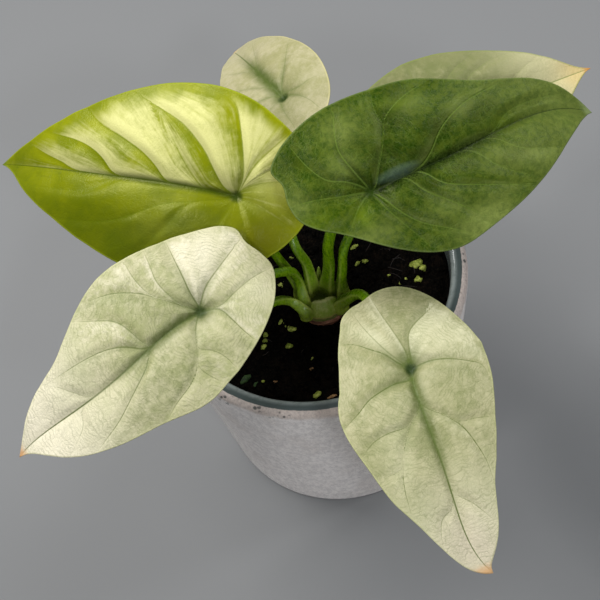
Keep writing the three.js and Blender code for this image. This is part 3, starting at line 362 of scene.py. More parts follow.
class Nodes:
    """Builds a material's node tree with short calls."""

    def __init__(self, name):
        self.material = bpy.data.materials.new(name)
        self.material.use_nodes = True
        self.tree = self.material.node_tree
        self.tree.nodes.clear()
        self.out = self.tree.nodes.new("ShaderNodeOutputMaterial")
        self.shader = self.tree.nodes.new("ShaderNodeBsdfPrincipled")
        self.tree.links.new(self.shader.outputs[0], self.out.inputs[0])

    def new(self, kind, **props):
        node = self.tree.nodes.new(kind)
        for k, v in props.items():
            setattr(node, k, v)
        return node

    def put(self, socket, value):
        if isinstance(value, bpy.types.NodeSocket):
            self.tree.links.new(value, socket)
        else:
            socket.default_value = value

    def set(self, name, value):
        self.put(self.shader.inputs[name], value)

    def math(self, op, a, b=None, c=None, clamp=False):
        node = self.new("ShaderNodeMath", operation=op, use_clamp=clamp)
        for k, v in enumerate((a, b, c)):
            if v is not None:
                self.put(node.inputs[k], v)
        return node.outputs[0]

    def add(self, a, b):
        return self.math("ADD", a, b)

    def mul(self, a, b):
        return self.math("MULTIPLY", a, b)

    def step(self, x, low, high, first=0.0, last=1.0):
        """x from low to high, eased to first to last."""
        node = self.new("ShaderNodeMapRange", interpolation_type="SMOOTHSTEP")
        for k, v in enumerate((x, low, high, first, last)):
            self.put(node.inputs[k], v)
        return node.outputs[0]

    def line(self, x, low, high, first=0.0, last=1.0):
        node = self.new("ShaderNodeMapRange", interpolation_type="LINEAR")
        for k, v in enumerate((x, low, high, first, last)):
            self.put(node.inputs[k], v)
        return node.outputs[0]

    def mix(self, factor, a, b, blend="MIX"):
        node = self.new("ShaderNodeMix", data_type="RGBA", blend_type=blend, clamp_factor=True)
        self.put(node.inputs[0], factor)
        self.put(node.inputs[6], a)
        self.put(node.inputs[7], b)
        return node.outputs[2]

    def ramp(self, x, stops, interpolation="LINEAR"):
        node = self.new("ShaderNodeValToRGB")
        cr = node.color_ramp
        cr.interpolation = interpolation
        while len(cr.elements) > 1:
            cr.elements.remove(cr.elements[-1])
        for k, (at, value) in enumerate(stops):
            e = cr.elements[0] if k == 0 else cr.elements.new(at)
            e.position = at
            e.color = (value, value, value, 1) if isinstance(value, (int, float)) else value
        self.put(node.inputs[0], x)
        return node.outputs[0]

    def attribute(self, name, output="Fac"):
        return self.new("ShaderNodeAttribute", attribute_name=name).outputs[output]

    def split(self, vector):
        node = self.new("ShaderNodeSeparateXYZ")
        self.put(node.inputs[0], vector)
        return node.outputs[0], node.outputs[1], node.outputs[2]

    def join(self, x, y, z=0.0):
        node = self.new("ShaderNodeCombineXYZ")
        for k, v in enumerate((x, y, z)):
            self.put(node.inputs[k], v)
        return node.outputs[0]

    def scale(self, vector, by):
        node = self.new("ShaderNodeVectorMath", operation="SCALE")
        self.put(node.inputs[0], vector)
        node.inputs["Scale"].default_value = by
        return node.outputs[0]

    def vadd(self, a, b):
        node = self.new("ShaderNodeVectorMath", operation="ADD")
        self.put(node.inputs[0], a)
        self.put(node.inputs[1], b)
        return node.outputs[0]

    def noise(self, vector, scale, detail=2.0, rough=0.5, color=False):
        node = self.new("ShaderNodeTexNoise")
        self.put(node.inputs["Vector"], vector)
        node.inputs["Scale"].default_value = scale
        node.inputs["Detail"].default_value = detail
        node.inputs["Roughness"].default_value = rough
        return node.outputs["Color" if color else "Fac"]

    def cells(self, vector, scale, feature="DISTANCE_TO_EDGE", random=1.0, out="Distance"):
        node = self.new("ShaderNodeTexVoronoi", feature=feature)
        self.put(node.inputs["Vector"], vector)
        node.inputs["Scale"].default_value = scale
        node.inputs["Randomness"].default_value = random
        return node.outputs[out]

    def mm(self):
        """The object's own coordinates in millimetres."""
        return self.scale(self.new("ShaderNodeTexCoord").outputs["Object"], 1000.0)

    def bump(self, height, distance_mm, strength=1.0, normal=None):
        node = self.new("ShaderNodeBump")
        node.inputs["Strength"].default_value = strength
        node.inputs["Distance"].default_value = distance_mm * MM
        self.put(node.inputs["Height"], height)
        if normal is not None:
            self.put(node.inputs["Normal"], normal)
        return node.outputs[0]

# ---------------------------------------------------------------- blades

RAYS, RINGS_TOP, RINGS_UNDER = 400, 96, 34

# The look of each blade. tones: soft patches (mask, along, across, radius along, radius across, turn in degrees,
# amount) with mask 0 for green, 1 for pale and 2 for the third colour; some green ones are painted shade. wedge: the
# dark zone on the midrib (length, half width, end half width, amount). panels: the colour at both sides of each field
# between two veins, from the tip round the blade, 0 palest, 0.5 plain and 1 greenest; partly the blade's own colour,
# partly painted sheen and shade.
LOOKS = {
    "leaf_left": {
        "base": ((130, 136, 4), (108, 118, 1)), "green": (54, 68, 0), "pale": (194, 192, 126), "third": (96, 88, 12),
        "vein": (84, 104, 8), "pale_vein": 0.0, "margin": (150, 160, 40), "tip": (96, 112, 30), "under": (140, 152, 58), "gloss": (0.20, (1.0, 0.98, 0.45)), "edge": 0.45,
        "rough": 0.32, "net": 0.06, "quilt": 1.0, "saw": 0.8, "grain": 0.07, "patch_end": (0.78, 0.97), "mottle": 0.25, "rag": 0.02, "painted_dimple_shade": 0.75, "near_side": 0.5, "weave": 0.05, "ripple": 0.30, "wave": 0.5, "pale_tip": 0.0, "halo": 0.25, "combs": 7.0,
        "wedge": (96, 2.2, 1.4, 0.95), "streak": 0.42, "line": 0.30,
        # The two wide green tones on the near half, at across 12 and 24, are painted shade of that half.
        "tones": [(2, -14, 13, 13, 9, 30, 0.55), (0, 96, 0, 16, 12, 0, 0.30), (1, 22, 17, 16, 6, 15, 0.10), (1, -2, 24, 12, 7, 0, 0.20),
                  (0, 48, 24, 62, 22, 0, 0.72), (0, 16, 12, 28, 10, 20, 0.62), (1, -12, -10, 12, 9, 0, 0.36)],
        # On this blade the palest panel ends are painted sheen: the cream highlights on its glossy quilted fields.
        "panels": [(0.66, 0.62), (0.60, 0.68), (0.62, 0.60), (0.58, 0.60), (0.60, 0.58), (0.60, 0.55), (0.45, 0.40),
                   (0.30, 0.20), (0.30, 0.08), (0.46, 0.02), (0.56, 0.26), (0.34, 0.02), (0.58, 0.02), (0.58, 0.08), (0.62, 0.34)],
    },
    "leaf_front_left": {
        "base": ((184, 180, 142), (158, 160, 112)), "green": (70, 82, 30), "pale": (230, 222, 198), "third": (206, 208, 174),
        "vein": (80, 92, 38), "pale_vein": 0.0, "margin": (196, 196, 146), "tip": (196, 146, 96), "under": (188, 188, 146), "gloss": (0.25, (1.0, 1.0, 0.95)), "edge": 0.30,
        "rough": 0.44, "painted_dimple_shade": 0.75, "net": 0.42, "quilt": 1.25, "saw": 0.35, "grain": 0.13, "patch_end": (0.86, 1.0), "mottle": 0.9, "near_side": 1.0, "weave": 0.34, "ripple": 0.25, "wave": 0.6, "pale_tip": 1.0, "halo": 0.55,
        "wedge": (56, 4.0, 1.4, 0.86), "streak": 0.25, "line": 0.85,
        # The small green tone at 0, 0 (2.6 by 2.2) is painted shade in the dimple over the stalk.
        "tones": [(1, -12, -18, 12, 8, 50, 0.75), (1, -22, 4, 8, 9, 0, 0.35), (0, 0, 0, 6, 5, 0, 0.95), (0, 0, 0, 2.6, 2.2, 0, 1.2), (1, 62, 8, 26, 14, 0, 0.45), (0, 12, 12, 16, 9, 40, 0.22), (0, 16, -14, 16, 8, -50, 0.22)],
        "panels": [(0.62, 0.50), (0.52, 0.42), (0.66, 0.68), (0.45, 0.50), (0.50, 0.45), (0.62, 0.62), (0.34, 0.40), (0.52, 0.30),
                   (0.30, 0.24), (0.66, 0.56), (0.30, 0.60), (0.30, 0.46), (0.74, 0.50), (0.36, 0.44), (0.70, 0.50), (0.50, 0.56)],
    },
    "leaf_front": {
        "base": ((170, 166, 128), (142, 143, 100)), "green": (78, 92, 34), "pale": (211, 208, 173), "third": (212, 200, 178),
        "vein": (84, 96, 40), "pale_vein": 0.0, "margin": (184, 188, 132), "tip": (200, 156, 108), "under": (182, 184, 138), "gloss": (0.25, (1.0, 1.0, 0.95)), "edge": 0.30,
        "rough": 0.44, "painted_dimple_shade": 1.0, "net": 0.50, "quilt": 1.25, "saw": 0.30, "grain": 0.13, "patch_end": (0.86, 1.0), "mottle": 0.9, "near_side": 1.0, "weave": 0.34, "ripple": 0.25, "wave": 0.5, "pale_tip": 0.7, "halo": 0.55,
        "wedge": (62, 3.4, 1.2, 0.85), "streak": 0.2, "line": 1.0,
        # The small green tone at 0, 0 (2.6 by 2.2) is painted shade in the dimple over the stalk.
        "tones": [(1, -7, 14, 9, 8, 0, 0.55), (0, -2, 0, 6, 5, 0, 1.0), (0, 0, 0, 2.6, 2.2, 0, 1.25), (2, 70, 0, 18, 14, 0, 0.8), (1, -16, -9, 9, 3.2, 35, 0.75), (1, 34, -15, 22, 6, -12, 0.35), (0, 8, 10, 10, 10, 0, 0.18)],
        "panels": [(0.50, 0.45), (0.50, 0.40), (0.52, 0.46), (0.54, 0.60), (0.36, 0.22), (0.60, 0.56), (0.24, 0.50), (0.50, 0.56),
                   (0.52, 0.58), (0.52, 0.42), (0.50, 0.42), (0.46, 0.40), (0.62, 0.45), (0.50, 0.58)],
    },
    "leaf_right": {
        "base": ((34, 57, 0), (65, 80, 12)), "green": (5, 19, 0), "pale": (134, 146, 76), "third": (92, 112, 8),
        "vein": (96, 117, 46), "pale_vein": 1.0, "margin": (112, 128, 74), "tip": (120, 134, 88), "under": (104, 120, 64), "gloss": (0.07, (1.0, 1.0, 0.7)), "edge": 0.35,
        "rough": 0.30, "net": 0.50, "quilt": 1.1, "saw": 0.2, "grain": 0.12, "patch_end": (0.86, 1.0), "mottle": 1.8, "painted_dimple_shade": 0.9, "near_side": 0.8, "weave": 0.14, "ripple": 0.3, "wave": 0.5, "pale_tip": 0.35, "halo": 0.75,
        # painted_sheen: a painted bluish-white highlight beside the midrib (along, across, radius along, radius
        # across, amount).
        "wedge": (92, 4.2, 1.6, 0.95), "streak": 0.35, "line": 0.62, "painted_sheen": (12, 2.4, 9, 2.4, 0.50),
        # The tones and panel ends of this blade are partly its own dark and pale fields, partly painted shade of its
        # quilted relief.
        "tones": [(0, 18, 21, 9, 7, 0, 0.62), (0, 11, 10, 9, 6, 0, 0.66), (0, 26, 30, 6, 5, 0, 0.4), (0, 32, 11, 9, 6, 0, 0.6), (0, 22, 5, 9, 5, 0, 0.66), (0, 51, 10, 10, 5, 0, 0.45),
                  (0, 5, 17, 7, 6, 0, 0.4), (0, 18, -7, 9, 5, 0, 0.55), (0, 35, -5, 10, 4, 0, 0.45), (0, -21, 23, 6, 5, 0, 0.35), (0, 6, -11, 9, 5, 0, 0.4), (0, 56, -11, 9, 4, 0, 0.35),
                  (0, -13, 7, 6, 4, 0, 0.4), (1, 1, 25, 8, 7, 0, 0.4), (1, -5, 13, 7, 6, 0, 0.34), (1, 28, 24, 7, 5, 0, 0.34), (1, 46, 14, 7, 5, 0, 0.34), (1, 34, -28, 14, 7, 0, 0.7),
                  (1, 84, 3, 9, 6, 0, 0.5), (1, 66, -18, 9, 7, 0, 0.4), (1, -8, -15, 12, 5, 0, 0.35), (1, 22, -17, 9, 6, 0, 0.3), (1, -27, 8, 6, 6, 0, 0.3), (1, 41, -23, 14, 6, 0, 0.35),
                  (2, -7, -5, 3, 6, 0, 0.5), (2, 24, 26, 5, 4, 0, 0.35), (2, 58, 2, 7, 3, 0, 0.4), (2, -22, -1, 7, 3, 0, 0.4), (1, 92, 0, 10, 12, 0, 0.4), (1, 62, -14, 22, 6, -20, 0.55)],
        "panels": [(0.62, 0.50), (0.38, 0.66), (0.34, 0.70), (0.46, 0.58), (0.36, 0.64), (0.46, 0.66), (0.56, 0.46), (0.50, 0.45),
                   (0.48, 0.52), (0.52, 0.50), (0.38, 0.62), (0.36, 0.62), (0.40, 0.58), (0.36, 0.52), (0.42, 0.66)],
    },
    "leaf_back_right": {
        "base": ((122, 123, 80), (106, 111, 66)), "green": (106, 118, 54), "pale": (208, 200, 158), "third": (206, 180, 118),
        "vein": (118, 128, 66), "pale_vein": 0.0, "margin": (120, 134, 60), "tip": (192, 128, 60), "under": (176, 176, 124), "gloss": (0.22, (1.0, 1.0, 0.95)), "edge": 0.5,
        "rough": 0.5, "painted_dimple_shade": 0.5, "net": 0.3, "quilt": 0.6, "saw": 0.12, "grain": 0.10, "patch_end": (0.86, 1.0), "mottle": 0.8, "near_side": 1.0, "weave": 0.15, "ripple": 0.25, "wave": 0.5, "pale_tip": 0.9, "halo": 0.3,
        "wedge": (44, 3.0, 1.2, 0.6), "streak": 0.2, "line": 0.45,
        "tones": [(2, 68, 0, 10, 12, 0, 0.8), (0, 0, 0, 5, 5, 0, 0.8)],
        "panels": [(0.54, 0.50), (0.52, 0.46), (0.48, 0.55), (0.50, 0.46), (0.52, 0.48), (0.50, 0.50), (0.50, 0.50), (0.52, 0.46),
                   (0.55, 0.45), (0.55, 0.45), (0.52, 0.52)],
    },
    "leaf_back": {
        "base": ((176, 169, 134), (156, 152, 108)), "green": (76, 90, 34), "pale": (204, 196, 162), "third": (150, 110, 80),
        "vein": (102, 114, 60), "pale_vein": 0.0, "margin": (196, 188, 134), "tip": (200, 172, 120), "under": (196, 190, 150), "gloss": (0.22, (1.0, 1.0, 0.95)), "edge": 0.5,
        "rough": 0.5, "painted_dimple_shade": 0.9, "net": 0.3, "quilt": 0.55, "saw": 0.1, "grain": 0.10, "patch_end": (0.86, 1.0), "mottle": 0.8, "near_side": 1.0, "weave": 0.15, "ripple": 0.2, "wave": 0.4, "pale_tip": 0.4, "halo": 0.85,
        "wedge": (64, 4.3, 2.4, 1.0), "streak": 0.15, "line": 0.55,
        "tones": [(0, 1, 0, 5.5, 5, 0, 1.0), (0, -4, 0, 17, 17, 0, 0.28)],
        "panels": [(0.55, 0.46), (0.52, 0.46), (0.50, 0.46), (0.50, 0.44), (0.50, 0.46), (0.50, 0.46), (0.50, 0.46), (0.50, 0.44),
                   (0.52, 0.46), (0.52, 0.50)],
    },
}


def blade_axes(leaf):
    e1 = unit(leaf["along"])
    n = np.asarray(leaf["up"], float)
    n = unit(n - (n @ e1) * e1)
    return e1, n, np.cross(n, e1)


def blade_points(leaf, s, b):
    """Points of a blade's upper face: s along it from the attachment, b across it."""
    e1, n, e2 = blade_axes(leaf)
    k = np.where(s > 0, leaf["tip_bend"], leaf["base_bend"])
    th = k * s
    t = np.maximum(s, 0)
    c = leaf["sway"]
    sway = c[0] * t + c[1] * t**2 + c[2] * t**3 + c[3] * t**4
    fade = 1 / (1 + np.exp(-(s + 8) / 5))
    lift = leaf["valley"] * (1 - np.exp(-((b / 7) ** 2))) * fade - leaf["arch"] * b * b
    lift = lift - leaf["dimple"] * np.exp(-(s * s + b * b) / 72)
    along = np.sin(th) / k + lift * np.sin(th)
    up = -(1 - np.cos(th)) / k + lift * np.cos(th)
    return np.array(leaf["at"], float) + along[:, None] * e1 + up[:, None] * n + (sway + b)[:, None] * e2


def blade_normals(leaf, s, b, h=0.4):
    ds = blade_points(leaf, s + h, b) - blade_points(leaf, s - h, b)
    db = blade_points(leaf, s, b + h) - blade_points(leaf, s, b - h)
    return unit(np.cross(ds, db))


def line_distance(x, y, line):
    """Shortest distance from each point to a polyline."""
    best = np.full(len(x), 1e9)
    for (ax, ay), (bx, by) in zip(line[:-1], line[1:]):
        dx, dy = bx - ax, by - ay
        t = np.clip(((x - ax) * dx + (y - ay) * dy) / (dx * dx + dy * dy + 1e-12), 0, 1)
        best = np.minimum(best, (x - ax - t * dx) ** 2 + (y - ay - t * dy) ** 2)
    return np.sqrt(best)


def smoothed_outline(leaf):
    """The outline at even distances, starting and ending at the tip."""
    o = [np.array(p, float) for p in leaf["outline"]]
    o[0][1] = 0.0
    line = catmull(o + [o[0]], 1600)
    return even(line, RAYS)[:RAYS]


def vein_chart(leaf, outline, s, b, after):
    """For points (s, b): the field number counted round the blade from the tip, with 0 to 1 across each field,
    the local field width in mm, the strength of the nearest veins and the distance to the nearest vein.
    after is True for points counted at the end of the round."""
    rho = np.hypot(s, b)
    phi = np.mod(np.arctan2(b, s), 2 * math.pi)
    phi = np.where((np.abs(b) < 1e-6) & (s > 0), 0.0, phi)
    phi = np.where(after, 2 * math.pi - 1e-9, phi)
    tip = outline[0][0]
    lines, angles, strength = [], [], []
    for value, pts in leaf["veins"]:
        p = np.array(pts, float)
        d = p[-1] - p[-2]
        far = p[-1] + d / np.hypot(*d) * 45
        p = np.vstack([p, far])
        q = even(catmull(p[:-1], 12 * len(p)), 60)
        for _ in range(14):
            q[1:-1] = q[1:-1] * 0.5 + (q[:-2] + q[2:]) * 0.25
        q = np.vstack([q, far])
        a = np.mod(np.arctan2(q[:, 1], q[:, 0]), 2 * math.pi)
        end = math.atan2(p[-2][1], p[-2][0]) % (2 * math.pi)
        if end < math.pi:
            a = np.where(a > 1.5 * math.pi, 0.0, a)
        else:
            a = np.where(a < 0.5 * math.pi, 2 * math.pi, a)
        r = np.maximum.accumulate(np.hypot(q[:, 0], q[:, 1]))
        angles.append(np.interp(rho, r[1:], a[1:]))
        lines.append(q)
        strength.append(value)
    mid = np.array([[0.0, 0.0], [tip + 20, 0.0]])
    dist = np.stack([line_distance(s, b, mid)] + [line_distance(s, b, q) for q in lines] + [line_distance(s, b, mid)])
    ang = np.stack([np.zeros(len(s))] + angles + [np.full(len(s), 2 * math.pi)])
    ang = np.maximum.accumulate(ang, axis=0)
    count = len(lines) + 1
    j = np.clip((ang <= phi[None] + 1e-9 * (~after)).sum(0) - 1, 0, count - 1)
    j = np.where(after, np.clip((ang < 2 * math.pi - 1e-6).sum(0) - 1, 0, count - 1), j)
    n = np.arange(len(s))
    d0, d1 = dist[j, n], dist[j + 1, n]
    width = d0 + d1
    u = np.where(width > 1e-6, d0 / np.maximum(width, 1e-6), 0.0)
    u = np.where(after, 1.0, u)
    force = np.array([1.0] + strength + [1.0])
    return j + u, width, force[j] * (1 - u) + force[j + 1] * u, np.minimum(d0, d1), u, j, count


def build_blade(name, seed):
    leaf, look = LEAVES[name], LOOKS[name]
    outline = smoothed_outline(leaf)
    closed = np.vstack([outline, outline[:1]])
    tip = outline[0][0]
    back = outline[:, 0].min()

    def layer(rings, under):
        """Rings from the middle out, with one extra column where the round closes."""
        f = np.linspace(0, 1, rings + 1)[1:]
        if not under:
            f = f**0.97
        grid = f[:, None, None] * closed[None]
        s, b = grid[..., 0].ravel(), grid[..., 1].ravel()
        after = np.tile(np.arange(RAYS + 1) == RAYS, rings)
        v, width, force, near, u, j, count = vein_chart(leaf, closed, s, b, after)
        frac = np.repeat(f, RAYS + 1)
        mid = np.abs(b) * np.where(s > 0, 1, 0) + np.where(s > 0, 0, np.hypot(s, b))
        rho = np.hypot(s, b)
        edge = line_distance(s, b, closed[:: 2 if under else 1])
        edge = np.where(frac > 0.9999, 0, edge)
        p = blade_points(leaf, s, b)
        n = blade_normals(leaf, s, b)
        out = 1 - smooth(frac, 0.72, 1.0)
        fade = (0.30 + 0.70 * out) * (0.45 + 0.55 * (1 - frac))
        side = np.where(v < count / 2, 1 - u, u)
        if not under:
            close = np.minimum(near / 0.01, 1)
            far = np.where(v < count / 2, look["near_side"], 1.0)
            h = far * look["quilt"] * (0.35 + 0.65 * force) * (1 - np.exp(-((near / 2.3) ** 2))) * fade
            h += far * look["saw"] * side**2 * (1 - np.exp(-((near / 1.6) ** 2))) * fade * np.minimum(width / 8, 1)
            chart = np.stack([v * 2.3, rho / 8.0, np.zeros_like(v)], 1)
            h += look["ripple"] * noise3(chart, 1.0, seed) * np.minimum(width / 9, 1) * smooth(near, 0.2, 3.0) * (0.4 + 0.6 * out)
            h -= 0.35 * np.exp(-((mid / 1.3) ** 2)) * (1 - frac)
            h -= 0.55 * np.exp(-((rho / 2.6) ** 2))
            h -= look["quilt"] * 0.35 * fade
        else:
            h = np.zeros_like(s)
        wave = look["wave"] * noise3(np.stack([s, b, np.zeros_like(s)], 1), 17.0, seed + 5) * frac**3
        wave = wave + 0.35 * look["wave"] * noise3(np.stack([s, b, np.zeros_like(s)], 1), 7.0, seed + 6) * frac**5
        h = h + wave
        if under:
            thick = 0.42 + 0.22 * (1 - frac) + 0.75 * np.exp(-((rho / 9.0) ** 2)) + 0.9 * np.exp(-((rho / 3.4) ** 2))
            rib = (1.15 * np.exp(-s / (0.5 * tip)) * np.where(s > 0, 1, 0) + np.where(s > 0, 0, np.exp(s / 9.0))) * np.exp(-((b / 1.5) ** 2))
            thick = thick + rib * smooth(frac, 1.0, 0.85) + 0.45 * force * np.exp(-((near / 0.9) ** 2)) * (1 - frac)
            thick = np.where(frac > 0.9999, 0.34, thick)
            h = h - thick
        p = p + n * h[:, None]
        tones = np.zeros((len(s), 3))
        for mask, cs, cb, rs, rb, turn, amount in look["tones"]:
            a = math.radians(turn)
            x = ((s - cs) * math.cos(a) + (b - cb) * math.sin(a)) / rs
            y = (-(s - cs) * math.sin(a) + (b - cb) * math.cos(a)) / rb
            tones[:, mask] = np.maximum(tones[:, mask], amount * np.exp(-(x * x + y * y)))
        length, w0, w1, amount = look["wedge"]
        t = np.clip(s / length, 0, 1)
        w = w0 + (w1 - w0) * t
        wedge = amount * np.exp(-((b / w) ** 2)) * (1 - smooth(s, 0.35 * length, length)) * smooth(s, -5, 1.0)
        tones[:, 0] = np.maximum(tones[:, 0], wedge)
        tones[:, 1] = np.maximum(tones[:, 1], look["pale_tip"] * smooth(s, 0.30 * tip, 0.92 * tip))
        grid_of = lambda a: a.reshape(rings, RAYS + 1, *a.shape[1:])
        return dict(
            p=grid_of(p)[:, :RAYS], v=grid_of(v), width=grid_of(width)[:, :RAYS], force=grid_of(force)[:, :RAYS],
            frac=grid_of(frac)[:, :RAYS], edge=grid_of(edge)[:, :RAYS], tones=grid_of(tones)[:, :RAYS],
            uv=grid_of(np.stack([s, b, rho], 1))[:, :RAYS], count=count, n=grid_of(n)[:, :RAYS],
        )

    top, low = layer(RINGS_TOP, False), layer(RINGS_UNDER, True)
    zero = np.zeros(1)
    middle = blade_points(leaf, zero, zero)
    centre_n = blade_normals(leaf, zero, zero)
    drop = (top["p"][0].mean(0) - middle[0]) @ centre_n[0]
    low_drop = (low["p"][0].mean(0) - middle[0]) @ centre_n[0]
    # A rounded edge: one ring stands a little outside, halfway down.
    outward = unit(top["p"][-1] - top["p"][-2])
    rim = top["p"][-1] * 0.5 + low["p"][-1] * 0.5 + outward * 0.17
    verts = np.vstack([middle + centre_n * drop, top["p"].reshape(-1, 3), rim, low["p"].reshape(-1, 3), middle + centre_n * low_drop])
    nt, nu = RINGS_TOP * RAYS, RINGS_UNDER * RAYS
    rim0, low0, last = 1 + nt, 1 + nt + RAYS, 1 + nt + RAYS + nu
    i = np.arange(RAYS)
    k = (i + 1) % RAYS

    def band(first, second, flip=False):
        q = np.stack([first + i, second + i, second + k, first + k], 1)
        return q[:, ::-1] if flip else q

    quads, fields = [], []
    vt, vl = top["v"], low["v"]
    for j in range(RINGS_TOP - 1):
        quads.append(band(1 + j * RAYS, 1 + (j + 1) * RAYS))
        fields.append(np.stack([vt[j, :RAYS], vt[j + 1, :RAYS], vt[j + 1, 1:], vt[j, 1:]], 1))
    edge_v = np.stack([vt[-1, :RAYS], vt[-1, :RAYS], vt[-1, 1:], vt[-1, 1:]], 1)
    quads.append(band(1 + (RINGS_TOP - 1) * RAYS, rim0))
    fields.append(edge_v)
    quads.append(band(rim0, low0 + (RINGS_UNDER - 1) * RAYS))
    fields.append(edge_v)
    for j in range(RINGS_UNDER - 1):
        quads.append(band(low0 + j * RAYS, low0 + (j + 1) * RAYS, True))
        fields.append(np.stack([vl[j, 1:], vl[j + 1, 1:], vl[j + 1, :RAYS], vl[j, :RAYS]], 1))
    tris = [np.stack([np.zeros_like(i), 1 + i, 1 + k], 1), np.stack([np.full_like(i, last), low0 + k, low0 + i], 1)]
    tri_fields = [
        np.stack([vt[0, :RAYS], vt[0, :RAYS], vt[0, 1:]], 1),
        np.stack([vl[0, :RAYS], vl[0, 1:], vl[0, :RAYS]], 1),
    ]
    field = np.concatenate([np.vstack(fields).ravel(), np.vstack(tri_fields).ravel()]) / top["count"]

    def per_point(key, centre):
        a, c = top[key], low[key]
        rim_value = a[-1]
        parts = [np.asarray(centre, float).reshape((1,) + a.shape[2:]), a.reshape((-1,) + a.shape[2:]), rim_value, c.reshape((-1,) + a.shape[2:]), np.asarray(centre, float).reshape((1,) + a.shape[2:])]
        return np.concatenate(parts)

    points = {
        "field_width": per_point("width", 0.0),
        "vein_force": per_point("force", 1.0),
        "radial": per_point("frac", 0.0),
        "margin": per_point("edge", 20.0),
        "tones": per_point("tones", (0.9, 0.0, 0.0)),
        "blade": per_point("uv", (0.0, 0.0, 0.0)),
        "underside": np.concatenate([np.zeros(1 + nt), np.full(RAYS, 0.5), np.ones(nu + 1)]),
    }
    ob = mesh_object(name + "_blade", verts, np.vstack(quads), np.vstack(tris), blade_material(name, top["count"], tip), points, {"field": field})
    return place(ob, name + "_blade", name)


